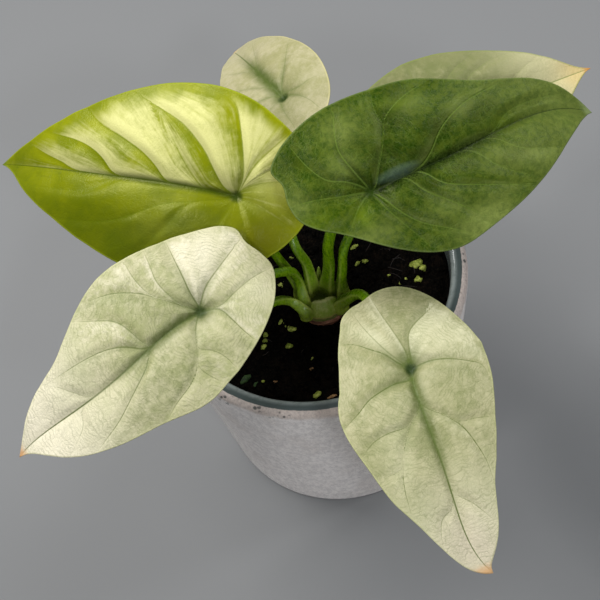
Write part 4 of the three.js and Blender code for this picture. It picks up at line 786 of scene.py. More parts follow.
def blade_material(name, count, tip):
    look = LOOKS[name]
    g = Nodes(name + "_skin")
    blade = g.attribute("blade", "Vector")
    s, b, rho = g.split(blade)
    flat = g.join(s, b)
    green, pale, third = g.split(g.attribute("tones", "Vector"))
    field = g.attribute("field")
    fields = g.mul(field, float(count))
    width, force = g.attribute("field_width"), g.attribute("vein_force")
    radial, margin, under = g.attribute("radial"), g.attribute("margin"), g.attribute("underside")
    wobble = g.line(g.noise(flat, 0.9, 2.0), 0.0, 1.0, -0.22, 0.22)
    near = g.mul(g.math("PINGPONG", fields, 0.5), width)
    near_w = g.math("ABSOLUTE", g.add(near, g.mul(wobble, g.step(near, 0.0, 1.0, 0.4, 1.0))))
    # Fine nets: short cross veins between the laterals, and small cells.
    warp = g.scale(g.vadd(g.noise(flat, 0.22, 3.0, 0.6, True), (-0.5, -0.5, -0.5)), 3.4)
    bent = g.vadd(flat, warp)
    coarse = g.cells(bent, 0.24)
    medium = g.cells(bent, 0.62)
    fine = g.cells(bent, 1.5)
    coarse_line = g.step(coarse, 0.0, 0.060, 1.0, 0.0)
    medium_line = g.step(medium, 0.0, 0.085, 1.0, 0.0)
    fine_line = g.step(fine, 0.0, 0.13, 1.0, 0.0)
    patchy = g.step(g.noise(flat, 0.10, 2.0), 0.35, 0.65, 0.35, 1.0)
    net = g.math("ADD", g.mul(coarse_line, 0.34), g.add(g.mul(medium_line, 0.36), g.mul(fine_line, 0.30)), clamp=True)
    net = g.mul(g.mul(net, patchy), look["net"])
    # A weave of fine lines across the fields, like a fingerprint.
    phase = g.add(g.mul(rho, 0.66), g.mul(g.noise(flat, 0.13, 3.0, 0.5), 6.0))
    phase = g.add(phase, g.mul(g.noise(g.vadd(flat, (31.0, 7.0, 0.0)), 0.5, 2.0), 0.9))
    weave = g.step(g.math("PINGPONG", g.add(phase, g.math("PINGPONG", fields, 0.5)), 0.5), 0.0, 0.26, 1.0, 0.0)
    weave = g.mul(g.mul(weave, g.step(near, 0.2, 1.2)), g.mul(g.step(rho, 5.0, 12.0), look["weave"]))
    net = g.math("MAXIMUM", net, g.mul(weave, g.step(g.noise(flat, 0.16, 2.0), 0.38, 0.60, 0.35, 1.0)))
    # Main veins thin out towards the margin.
    line_width = g.line(radial, 0.0, 1.0, 0.62, 0.20)
    vein = g.mul(g.step(near_w, 0.0, line_width, 1.0, 0.0), g.mul(force, g.step(radial, 0.80, 1.0, 1.0, 0.25)))
    mid_across = g.math("ABSOLUTE", g.add(b, g.mul(wobble, 0.3)))
    mid_width = g.line(s, 0.0, tip, 1.05, 0.25)
    midrib = g.mul(g.step(mid_across, 0.0, mid_width, 1.0, 0.0), g.step(s, -1.0, 1.0))
    halo = g.mul(g.step(near, 0.0, 3.2, 1.0, 0.0), g.mul(force, g.step(radial, 0.10, 0.95, 1.0, 0.0)))

    soft = g.noise(flat, 0.055, 3.0, 0.55)
    mottle = g.noise(bent, 0.35, 4.0, 0.65)
    grain = g.noise(flat, 2.6, 3.0, 0.6)
    a0, a1 = (srgb(*c) for c in look["base"])
    k = 0.5 * look["mottle"]
    colour = g.mix(g.step(g.math("ADD", g.mul(soft, 1 - k), g.mul(mottle, k)), 0.38, 0.62), a0, a1)

    stops = []
    for k, (first, last) in enumerate(look["panels"]):
        stops += [((k + 0.004) / count, first), ((k + 0.996) / count, last)]
    shade = g.ramp(field, stops)
    streak = g.noise(g.vadd(g.join(g.mul(fields, look.get("combs", 3.6)), g.mul(rho, 0.055)), g.scale(warp, 0.06)), 1.0, 3.0, 0.6)
    shade = g.math("ADD", shade, g.mul(g.line(streak, 0.3, 0.7, -0.5, 0.5), look["streak"] * 0.5))
    shade = g.math("ADD", shade, g.line(mottle, 0.3, 0.7, -0.05, 0.05))
    fade0, fade1 = look["patch_end"]
    rag = look.get("rag", 0.06)
    ragged = g.add(radial, g.line(g.noise(flat, 0.18, 3.0), 0.3, 0.7, -rag, rag))
    ragged = g.add(ragged, g.line(streak, 0.3, 0.7, -0.5 * rag - 0.02, 0.5 * rag + 0.02))
    reach = g.mul(g.step(ragged, fade0, fade1, 1.0, 0.0), g.step(near, 0.0, 0.5, 0.55, 1.0))
    # Pale and green field ends from the panels: the blade's own colour, with painted sheen in leaf_left's pale ends
    # and painted shade in leaf_right's green ends.
    pale_and_painted_sheen = g.math("MULTIPLY", g.step(shade, 0.50, 0.08), reach, clamp=True)
    green_and_painted_shade = g.math("MULTIPLY", g.step(shade, 0.50, 1.0), 0.75, clamp=True)
    rough_mask = g.line(mottle, 0.25, 0.75, 1 - 0.2 * look["mottle"], 1 + 0.14 * look["mottle"])
    colour = g.mix(g.math("MULTIPLY", g.math("MAXIMUM", pale, pale_and_painted_sheen), rough_mask, clamp=True), colour, srgb(*look["pale"]))
    colour = g.mix(g.math("MULTIPLY", third, rough_mask, clamp=True), colour, srgb(*look["third"]))
    greens = g.math("MAXIMUM", g.math("MAXIMUM", green, green_and_painted_shade), g.mul(halo, look["halo"]))
    colour = g.mix(g.math("MULTIPLY", greens, rough_mask, clamp=True), colour, srgb(*look["green"]))
    colour = g.mix(g.mul(g.step(grain, 0.35, 0.75), 0.10), colour, srgb(*look["green"]))
    colour = g.mix(net, colour, srgb(*look["green"]) if not look["pale_vein"] else srgb(*look["vein"]))
    vein_colour = srgb(*look["vein"])
    colour = g.mix(g.math("MULTIPLY", vein, look["line"], clamp=True), colour, vein_colour)
    mid_colour = srgb(*look["green"])
    colour = g.mix(g.math("MULTIPLY", midrib, 0.55 + 0.3 * look["line"], clamp=True), colour, mid_colour)
    rim = g.step(g.add(margin, g.mul(wobble, 0.8)), 0.15, 0.75, 1.0, 0.0)
    colour = g.mix(g.mul(rim, look["edge"]), colour, srgb(*look["margin"]))
    point = g.step(g.add(s, g.mul(wobble, 6.0)), tip - 5.5, tip - 1.0)
    colour = g.mix(g.mul(point, 0.9), colour, srgb(*look["tip"]))
    # Painted shade: the dimple over the stalk is darkened in the colour.
    painted_dimple_shade = g.step(g.add(rho, g.mul(wobble, 2.0)), 0.9, 3.2, 1.0, 0.0)
    colour = g.mix(g.mul(painted_dimple_shade, look["painted_dimple_shade"]), colour, srgb(36, 54, 10))
    # A painted sheen: a bluish-white highlight beside the midrib, painted into the base colour.
    if "painted_sheen" in look:
        cs, cb, rs, rb, amount = look["painted_sheen"]
        away = g.math("ADD", g.math("POWER", g.mul(g.add(s, -cs), 1 / rs), 2.0), g.math("POWER", g.mul(g.add(b, -cb), 1 / rb), 2.0))
        painted_sheen = g.mul(g.step(away, 1.4, 0.0), g.line(mottle, 0.3, 0.7, 0.6 * amount, amount))
        colour = g.mix(painted_sheen, colour, srgb(82, 102, 90))
    # The underside is paler and duller.
    below = g.mix(g.step(mottle, 0.3, 0.7), srgb(*look["under"]), a1)
    below = g.mix(g.math("MULTIPLY", g.add(g.mul(vein, 0.5), g.mul(midrib, 0.6)), 0.8, clamp=True), below, srgb(*look["pale"]))
    below = g.mix(g.mul(net, 0.5), below, srgb(*look["green"]))
    colour = g.mix(g.step(under, 0.4, 0.9), colour, below)
    g.set("Base Color", colour)

    rough = g.math("ADD", g.line(mottle, 0.3, 0.7, look["rough"] - 0.05, look["rough"] + 0.07), g.mul(under, 0.18))
    g.set("Roughness", g.math("ADD", rough, g.mul(net, 0.10), clamp=True))
    level, tint = look["gloss"]
    g.shader.inputs["Specular IOR Level"].default_value = level
    g.shader.inputs["Specular Tint"].default_value = (*tint, 1)
    height = g.mul(g.step(near_w, 0.0, 0.9, -1.0, 0.0), g.mul(force, 0.55))
    height = g.add(height, g.mul(g.step(mid_across, 0.0, 1.3, -1.0, 0.0), g.step(s, -1.0, 1.0, 0.0, 0.5)))
    height = g.add(height, g.mul(g.step(coarse, 0.0, 0.16), 0.35))
    height = g.add(height, g.mul(g.step(medium, 0.0, 0.22), 0.30))
    height = g.add(height, g.mul(g.step(fine, 0.0, 0.35), 0.16))
    height = g.add(height, g.mul(g.noise(flat, 1.1, 3.0, 0.6), 0.18))
    g.put(g.shader.inputs["Normal"], g.bump(height, look["grain"], 0.85))
    return g.material


# ---------------------------------------------------------------- stalks, crown and sheaths

CROWN = np.array([2.0, -9.2])


def stalk_material():
    g = Nodes("stalk_skin")
    along, wing = g.attribute("along"), g.attribute("wing")
    p = g.mm()
    x, y, z = g.split(p)
    streak = g.noise(g.join(g.mul(x, 1.0), g.mul(y, 1.0), g.mul(z, 0.10)), 1.5, 3.0, 0.6)
    spots = g.noise(p, 0.55, 3.0, 0.6)
    fine = g.noise(p, 3.0, 2.0, 0.5)
    colour = g.mix(g.step(streak, 0.35, 0.68), srgb(122, 162, 5), srgb(80, 124, 2))
    colour = g.mix(g.mul(g.step(spots, 0.52, 0.70), 0.20), colour, srgb(168, 186, 60))
    colour = g.mix(g.step(along, 0.10, 0.0, 0.0, 0.5), colour, srgb(176, 190, 64))
    # Paler towards the crown: partly the stalk bases' own paler colour, partly painted light where the blades shade
    # the crown.
    colour = g.mix(g.step(z, 130.0, 115.0, 0.0, 0.32), colour, srgb(196, 206, 96))
    colour = g.mix(g.mul(wing, 0.6), colour, srgb(204, 208, 108))
    colour = g.mix(g.step(along, 0.90, 1.0, 0.0, 0.35), colour, srgb(150, 165, 70))
    g.set("Base Color", colour)
    g.set("Roughness", g.line(spots, 0.3, 0.7, 0.22, 0.34))
    height = g.add(g.mul(streak, 0.7), g.mul(fine, 0.3))
    g.set("Normal", g.bump(height, 0.25, 0.7))
    return g.material


def build_stalk(name, material, seed):
    spec = PETIOLES[name]
    path = catmull(spec["path"], 96)
    path = np.vstack([path[0] - (0, 0, 1.6), path])
    if spec["leaf"]:
        leaf = LEAVES[spec["leaf"]]
        n = blade_axes(leaf)[1]
        path = np.vstack([path, np.array(leaf["at"], float) - (leaf["dimple"] + 2.0) * n])
    rings, sides = 100, 36
    path = even(path, rings - 1)
    for _ in range(3):
        path[1:-1] = path[1:-1] * 0.5 + (path[:-2] + path[2:]) * 0.25
    inward = np.array([CROWN[0] - path[0, 0], CROWN[1] - path[0, 1], 0.0])
    if np.linalg.norm(inward) < 1.0:
        inward = np.array([0.0, -1.0, 0.0])
    tangent, side, other = transport(path, inward)
    t = np.linspace(0, 1, rings)
    r = spec["top_radius"] + (spec["foot_radius"] - spec["top_radius"]) * (1 - t) ** 1.5 + 0.25 * np.exp(-((t / 0.08) ** 2))
    length = np.linalg.norm(np.diff(path, axis=0), axis=1).sum()
    left = (1 - t) * length
    if spec["leaf"]:
        r = r * (1 + 0.16 * np.exp(-((left - 2.6) ** 2) / 3.0)) * np.sqrt(np.clip(left / 1.1, 0.02, 1))
    else:
        r = r * np.sqrt(np.clip(1 - (1 - np.clip(left / 2.0, 0, 1)) ** 2, 0.02, 1))
    phi = np.arange(sides) / sides * 2 * math.pi
    off = (phi + math.pi) % (2 * math.pi) - math.pi
    reach = 34.0 / length
    open_part = np.clip(1 - t / reach, 0, 1) ** 0.8
    bell = lambda c, w: np.exp(-(((off - c) / w) ** 2))
    wing = open_part[:, None] * (bell(0.95, 0.24) + bell(-0.95, 0.24))[None]
    base = np.exp(-((t * length / 10.0) ** 2))[:, None]
    cling = base * (1 - 0.75 * bell(0.0, 0.95)[None] - 0.25 * bell(math.pi, 1.0)[None])
    shape = 1 + 0.62 * cling + 0.30 * wing - 0.26 * open_part[:, None] * bell(0.0, 0.60)[None] - 0.05 * (1 - open_part[:, None]) * bell(0.0, 0.7)[None]
    p = path[:, None] + (r[:, None] * shape)[..., None] * (np.cos(phi)[None, :, None] * side[:, None] + np.sin(phi)[None, :, None] * other[:, None])
    flat = p.reshape(-1, 3)
    push = 1 + 0.025 * noise3(flat, 5.0, seed) + 0.008 * noise3(flat, 1.6, seed + 1)
    centre = np.repeat(path, sides, axis=0)
    flat = centre + (flat - centre) * push[:, None]
    verts = np.vstack([flat, path[:1], path[-1:]])
    i = np.arange(sides)
    k = (i + 1) % sides
    first, last, top = len(flat), len(flat) + 1, (rings - 1) * sides
    quads = ring_quads(rings, sides)
    tris = np.vstack([np.stack([np.full(sides, first), k, i], 1), np.stack([np.full(sides, last), top + i, top + k], 1)])
    points = {
        "along": np.concatenate([np.repeat(t, sides), [0, 1]]),
        "wing": np.concatenate([np.clip(wing, 0, 1).ravel(), [0, 0]]),
    }
    return place(mesh_object(name + "_stalk", verts, quads, tris, material, points), "petiole", name)


def shell(outer, inner):
    """Vertices and quads of a closed plate from two grids of points; outer faces out along i x j."""
    m, n = outer.shape[:2]
    verts = np.vstack([outer.reshape(-1, 3), inner.reshape(-1, 3)])
    j, i = np.meshgrid(np.arange(m - 1), np.arange(n - 1), indexing="ij")
    a = (j * n + i).ravel()
    front = np.stack([a, a + 1, a + n + 1, a + n], 1)
    back = front[:, ::-1] + m * n
    rim = np.concatenate([np.arange(n), np.arange(2 * n - 1, m * n, n), np.arange(m * n - 2, (m - 1) * n - 1, -1), np.arange((m - 2) * n, 0, -n)])
    nxt = np.roll(rim, -1)
    edge = np.stack([rim, rim + m * n, nxt + m * n, nxt], 1)
    return verts, np.vstack([front, back, edge])


def sheath_material():
    g = Nodes("sheath_skin")
    p = g.mm()
    x, y, z = g.split(p)
    ribs = g.noise(g.join(x, y, g.mul(z, 0.08)), 2.4, 3.0, 0.6)
    cloud = g.noise(p, 0.35, 3.0, 0.6)
    edge = g.attribute("margin")
    colour = g.mix(g.step(ribs, 0.35, 0.65), srgb(164, 186, 66), srgb(194, 206, 110))
    colour = g.mix(g.step(cloud, 0.42, 0.7), colour, srgb(158, 188, 60))
    colour = g.mix(g.mul(g.step(edge, 1.1, 0.0), 0.75), colour, srgb(232, 228, 164))
    colour = g.mix(g.step(z, 114.0, 112.4), colour, srgb(190, 150, 104))
    g.set("Base Color", colour)
    g.set("Roughness", g.line(cloud, 0.3, 0.7, 0.25, 0.38))
    g.set("Normal", g.bump(ribs, 0.22, 0.8))
    return g.material


def build_sheaths(material):
    # The sheath that wraps the front of the crown.
    m, n = 34, 64
    u = np.linspace(0, 1, n)[None]
    v = np.linspace(0, 1, m)[:, None]
    a = np.radians(200 + 136 * u)
    height = 1.4 + 7.4 * np.clip(1 - np.abs(2 * u - 1.04) ** 2.6, 0, 1) ** 0.55
    z = 112.2 + height * v * (1 + 0.02 * np.sin(9 * u))
    swell = 0.75 * np.sin(math.pi * np.clip(v * 0.9 + 0.1, 0, 1)) - 0.9 * v**3
    radius = 9.2 - 3.4 * v**1.15 + 0.8 * swell * (1 - np.abs(2 * u - 1) ** 3) + 0.09 * np.sin(u * 46)
    outer = np.stack(np.broadcast_arrays(CROWN[0] + (radius + 0.45) * np.cos(a), -9.0 + (radius + 0.45) * np.sin(a), z), -1)
    inner = np.stack(np.broadcast_arrays(CROWN[0] + (radius - 0.35) * np.cos(a), -9.0 + (radius - 0.35) * np.sin(a), z - 0.05), -1)
    verts, quads = shell(outer, inner)
    e = np.minimum(height * (1 - v), np.minimum(u, 1 - u) * 12)
    e = np.broadcast_to(e, (m, n)).ravel()
    front = mesh_object("sheath_front_plate", verts, quads, [], material, {"margin": np.concatenate([e, e])})
    place(front, "sheath", "sheath_front")
    # The pointed tip of the next leaf, rolled up.
    rings, sides = 44, 24
    path = even(catmull([(3.2, -1, 112.4), (3.2, -1, 118.5), (3.6, -2.2, 124.5), (3.9, -3.7, 130.5)], 60), rings - 1)
    tangent, side, other = transport(path, (1, 0, 0))
    t = np.linspace(0, 1, rings)
    r = 1.55 * np.sqrt(np.clip(1 - 0.985 * t, 0.004, 1))
    phi = np.arange(sides) / sides * 2 * math.pi
    lap = 1 + 0.16 * np.exp(-(((phi - 1.3) / 0.28) ** 2))
    p = path[:, None] + (r[:, None] * lap[None])[..., None] * (np.cos(phi)[None, :, None] * side[:, None] + 0.72 * np.sin(phi)[None, :, None] * other[:, None])
    i = np.arange(sides)
    k = (i + 1) % sides
    flat = p.reshape(-1, 3)
    top = (rings - 1) * sides
    tris = np.vstack([np.stack([np.full(sides, len(flat)), k, i], 1), np.stack([np.full(sides, len(flat) + 1), top + i, top + k], 1)])
    e = np.concatenate([np.tile(2.0 * np.abs(phi - 1.3), rings), [2, 0]])
    ob = mesh_object("sheath_tip_roll", np.vstack([flat, path[:1], path[-1:]]), ring_quads(rings, sides), tris, material, {"margin": e})
    place(ob, "sheath", "sheath_tip")


def lathe(name, profile, sides, material, points, wobble=None):
    """A closed turned body from (r, z) points that run from the middle of the underside to the middle of the top."""
    rings = profile[1:-1]
    phi = np.arange(sides) / sides * 2 * math.pi
    p = np.stack(
        [rings[:, :1] * np.cos(phi)[None], rings[:, :1] * np.sin(phi)[None], np.repeat(rings[:, 1:], sides, 1)], -1
    ).reshape(-1, 3)
    if wobble is not None:
        p = wobble(p)
    verts = np.vstack([p, [(0, 0, profile[0][1])], [(0, 0, profile[-1][1])]])
    m = len(rings)
    i = np.arange(sides)
    k = (i + 1) % sides
    quads = ring_quads(m, sides)
    tris = np.vstack([np.stack([np.full(sides, len(p)), k, i], 1), np.stack([np.full(sides, len(p) + 1), (m - 1) * sides + i, (m - 1) * sides + k], 1)])
    values = {key: np.concatenate([np.repeat(v[1:-1], sides), [v[0], v[-1]]]) for key, v in points.items()}
    return mesh_object(name, verts, quads, tris, material, values)


def build_rhizome():
    g = Nodes("rhizome_bark_skin")
    p = g.mm()
    x, y, z = g.split(p)
    rings_ = g.noise(g.join(g.mul(x, 0.12), g.mul(y, 0.12), z), 1.3, 3.0, 0.65)
    cloud = g.noise(p, 0.5, 4.0, 0.65)
    colour = g.mix(g.step(rings_, 0.38, 0.62), srgb(104, 62, 44), srgb(190, 130, 104))
    colour = g.mix(g.step(cloud, 0.55, 0.75), colour, srgb(52, 34, 24))
    colour = g.mix(g.mul(g.step(z, 111.6, 112.8), 0.90), colour, srgb(104, 126, 44))
    g.set("Base Color", colour)
    g.set("Roughness", g.line(cloud, 0.3, 0.7, 0.55, 0.8))
    g.set("Normal", g.bump(g.add(rings_, g.mul(cloud, 0.6)), 0.7, 0.8))
    line = catmull([(8.2, 101), (10.2, 103.4), (11.2, 107.2), (11.2, 110.4), (10.6, 111.9), (9.4, 112.8), (5.0, 113.1), (0.6, 113.1)], 54)
    profile = np.vstack([[(0, 101)], line, [(0, 113.1)]])

    def wobble(q):
        a = np.arctan2(q[:, 1], q[:, 0])
        r = np.hypot(q[:, 0], q[:, 1])
        side = smooth(r, 6, 9.5)
        scar = 0.16 * np.sin(q[:, 2] * 2 * math.pi / 1.7 + 0.8 * np.sin(2 * a)) * side
        lump = 0.34 * noise3(q, 3.2, 71) * side
        grow = 1 + (scar + lump - 0.28 * side) / np.maximum(r, 1)
        out = q.copy()
        out[:, 0] = q[:, 0] * grow + CROWN[0]
        out[:, 1] = q[:, 1] * grow + CROWN[1]
        out[:, 2] = q[:, 2] + 0.18 * noise3(q, 1.6, 72) * smooth(q[:, 2], 111, 113)
        return out

    ob = lathe("rhizome_bark", profile, 132, g.material, {}, wobble)
    me = ob.data
    # The two middle points of the turned body follow the crown.
    for v in (me.vertices[-1], me.vertices[-2]):
        v.co.x, v.co.y = CROWN[0] * MM, CROWN[1] * MM
    place(ob, "rhizome_bark", "rhizome")


# ---------------------------------------------------------------- soil

SOIL_RADIUS = 58.3


def soil_height(x, y):
    """Height of the soil's surface."""
    p = np.stack([x, y, np.zeros_like(x)], 1)
    bump = 0.9 * np.sin(0.23 * x + 1.1) * np.cos(0.19 * y - 0.4) + 0.6 * np.sin(0.51 * x - 0.37 * y + 2) + 0.4 * np.cos(0.83 * x + 0.71 * y)
    r = np.hypot(x, y)
    rc = np.hypot(x - CROWN[0], y - CROWN[1])
    h = 109.5 + 0.6 * bump + 0.9 * fbm(p, 7.0, 3, 11) + 0.75 * np.abs(noise3(p, 2.4, 21)) + 0.42 * np.abs(noise3(p, 1.1, 31))
    front = smooth(y - CROWN[1], 2.0, -8.0) * smooth(np.abs(x - CROWN[0]), 11, 5)
    mound = np.exp(-(((rc - 12.5) / 4.0) ** 2)) * (1.0 + 0.5 * noise3(p, 6.0, 41))
    h = h + mound * (1.9 - 1.7 * front)
    h = np.where(rc < 11.2, h - smooth(11.2 - rc, 0, 1.2) * 5.0, h)
    return h - 0.9 * smooth(r, 55.5, 58.3) * (0.5 + 0.5 * noise3(p, 8.0, 51))


def soil_material():
    g = Nodes("potting_soil_skin")
    p = g.mm()
    big = g.noise(p, 0.16, 4.0, 0.6)
    small = g.noise(p, 0.9, 5.0, 0.7)
    grit = g.noise(p, 1.5, 4.0, 0.7)
    lump = g.cells(p, 0.55, "F1")
    colour = g.mix(g.step(small, 0.46, 0.64), srgb(1, 1, 1), srgb(16, 14, 10))
    colour = g.mix(g.mul(g.step(big, 0.50, 0.68), 0.45), colour, srgb(24, 16, 11))
    colour = g.mix(g.mul(g.step(grit, 0.54, 0.66), 0.50), colour, srgb(44, 34, 24))
    g.set("Base Color", colour)
    g.set("Roughness", g.line(small, 0.3, 0.7, 0.70, 0.95))
    g.shader.inputs["Specular IOR Level"].default_value = 0.04
    height = g.add(g.mul(small, 1.0), g.add(g.mul(grit, 0.35), g.mul(lump, -0.6)))
    g.set("Normal", g.bump(height, 0.9, 0.9))
    return g.material


def build_soil(material):
    sides, rings = 340, 112
    f = np.linspace(0, 1, rings + 1)[1:]
    phi = np.arange(sides) / sides * 2 * math.pi
    r = SOIL_RADIUS * f
    x = (r[:, None] * np.cos(phi)[None]).ravel()
    y = (r[:, None] * np.sin(phi)[None]).ravel()
    top = np.stack([x, y, soil_height(x, y)], 1)
    low = []
    for rr, zz in ((58.2, 106.0), (57.5, 92.0), (55.5, 55.0), (52.7, 16.0), (51.0, 8.6), (47.4, 5.9)):
        low.append(np.stack([rr * np.cos(phi), rr * np.sin(phi), np.full(sides, zz)], 1))
    low = np.vstack(low)
    centre = np.array([[0, 0, soil_height(np.zeros(1), np.zeros(1))[0]], [0, 0, 5.9]])
    verts = np.vstack([top, low, centre])
    m = rings + 6
    j, i = np.meshgrid(np.arange(m - 1), np.arange(sides), indexing="ij")
    k = (i + 1) % sides
    quads = np.stack([j * sides + i, (j + 1) * sides + i, (j + 1) * sides + k, j * sides + k], -1).reshape(-1, 4)
    i = np.arange(sides)
    k = (i + 1) % sides
    c0, c1, last = len(verts) - 2, len(verts) - 1, (m - 1) * sides
    tris = np.vstack([np.stack([np.full(sides, c0), i, k], 1), np.stack([np.full(sides, c1), last + k, last + i], 1)])
    place(mesh_object("soil_surface", verts, quads, tris, material), "potting_soil", "soil")


def ball(level):
    """Vertices and triangles of a unit ball of even triangles."""
    import bmesh

    bm = bmesh.new()
    bmesh.ops.create_icosphere(bm, subdivisions=level, radius=1.0)
    v = np.array([p.co[:] for p in bm.verts])
    f = np.array([[p.index for p in q.verts] for q in bm.faces])
    bm.free()
    return v, f


def lumps(name, spots, level, material, seed, rough=0.3):
    """One mesh of many loose lumps: each spot is (x, y, sunk, three radii, turn)."""
    unit_v, unit_f = ball(level)
    verts, tris, tints = [], [], []
    for n, (x, y, sunk, rx, ry, rz, turn) in enumerate(spots):
        q = unit_v * (1 + rough * noise3(unit_v + n * 7.31, 0.75, seed)[:, None] + 0.4 * rough * noise3(unit_v + n * 3.7, 0.35, seed + 1)[:, None])
        q = q * (rx, ry, rz)
        c, s = math.cos(turn), math.sin(turn)
        q = q @ np.array([[c, s, 0], [-s, c, 0], [0, 0, 1]])
        z = soil_height(np.array([x]), np.array([y]))[0]
        q = q + (x, y, z + rz * (1 - sunk))
        tris.append(unit_f + len(verts) * len(unit_v))
        verts.append(q)
        tints.append(np.full(len(q), lattice(np.array([n]), np.array([5]), np.array([9]), seed)[0] * 0.5 + 0.5))
    return mesh_object(name, np.vstack(verts), [], np.vstack(tris), material, {"tint": np.concatenate(tints)})


FLECKS = [
    # x, y, size, second size, turn: pale and yellow-green crumbs that lie on the soil
    (21.7, 13.3, 2.3, 1.5, 0.3), (20.9, 5.0, 2.3, 1.3, 0.6), (24.3, 4.4, 1.7, 1.2, -0.3), (45.2, -3.2, 3.0, 2.2, 0.2), (47.4, -6.2, 2.4, 1.9, 1.0),
    (44.2, -10.9, 2.0, 1.8, 0.4), (32.5, -5.1, 1.0, 0.8, 0.0), (36.1, -9.9, 0.8, 0.7, 0.0), (39.1, -8.8, 1.0, 0.8, 0.5), (13.4, -17.6, 1.8, 1.5, 0.1),
    (-5.9, 17.4, 1.7, 1.4, 0.9), (-13.3, 4.9, 1.6, 1.3, 0.2), (-17.6, -12.6, 1.7, 0.9, 0.9), (-15.6, -12.4, 1.5, 0.8, -0.8), (-16.3, -14.8, 1.6, 0.8, 1.5),
    (-13.9, -18.5, 2.3, 1.6, -0.5), (-16.9, -25.5, 2.0, 1.7, 0.3), (-25.2, -16.8, 1.7, 1.5, 0.4), (-26.2, -19.6, 1.5, 1.4, 0.2), (-27.4, -22.5, 1.6, 1.3, 0.9),
    (-10.9, -51.0, 2.1, 1.7, 0.4), (-31.1, -38.2, 1.0, 0.8, 0.2), (7.4, -27.2, 1.0, 0.7, 0.5), (-1.5, 30.0, 1.5, 1.1, 0.5), (30.5, 31.0, 1.8, 1.3, 0.8),
    (-34.0, 21.0, 2.0, 1.5, 0.1), (-21.0, 38.0, 1.6, 1.3, 0.7), (8.0, 46.0, 2.0, 1.4, 0.3), (42.0, 22.0, 1.5, 1.2, 0.6), (-45.0, 2.0, 1.7, 1.3, 0.2),
    (36.0, -34.0, 1.9, 1.4, 0.5), (16.0, -44.0, 1.6, 1.2, 0.3), (-44.0, -14.0, 1.6, 1.1, 0.9), (-9.0, -33.5, 0.8, 0.6, 0.9), (25.0, -21.0, 1.2, 1.0, 0.3),
]
TAN = [(-5.0, -53.2, 2.6, 1.1, 0.1), (-26.7, -40.0, 1.7, 1.0, 0.3), (3.5, -19.0, 1.5, 1.0, -0.2), (-10.3, -38.3, 0.9, 0.7, 0.2), (28.0, -13.0, 1.3, 0.6, 0.7), (38.5, 12.0, 1.5, 0.6, 0.5)]
GREEN = [(-38.0, -35.4, 3.0, 2.2, 0.4), (-34.6, -38.6, 1.8, 1.2, 0.9), (-33.5, -19.0, 1.5, 1.0, 0.2)]


def fleck_material(name, dark, light, rough):
    g = Nodes(name)
    p = g.mm()
    cloud = g.noise(p, 0.9, 4.0, 0.65)
    fine = g.noise(p, 4.0, 2.0, 0.6)
    tint = g.attribute("tint")
    colour = g.mix(g.math("ADD", g.step(cloud, 0.35, 0.65), g.line(tint, 0.0, 1.0, -0.35, 0.35), clamp=True), srgb(*dark), srgb(*light))
    colour = g.mix(g.mul(g.step(fine, 0.58, 0.72), 0.35), colour, srgb(60, 52, 26))
    g.set("Base Color", colour)
    g.set("Roughness", g.line(cloud, 0.3, 0.7, rough, rough + 0.15))
    g.set("Normal", g.bump(g.add(cloud, g.mul(fine, 0.4)), 0.3, 0.8))
    return g.material


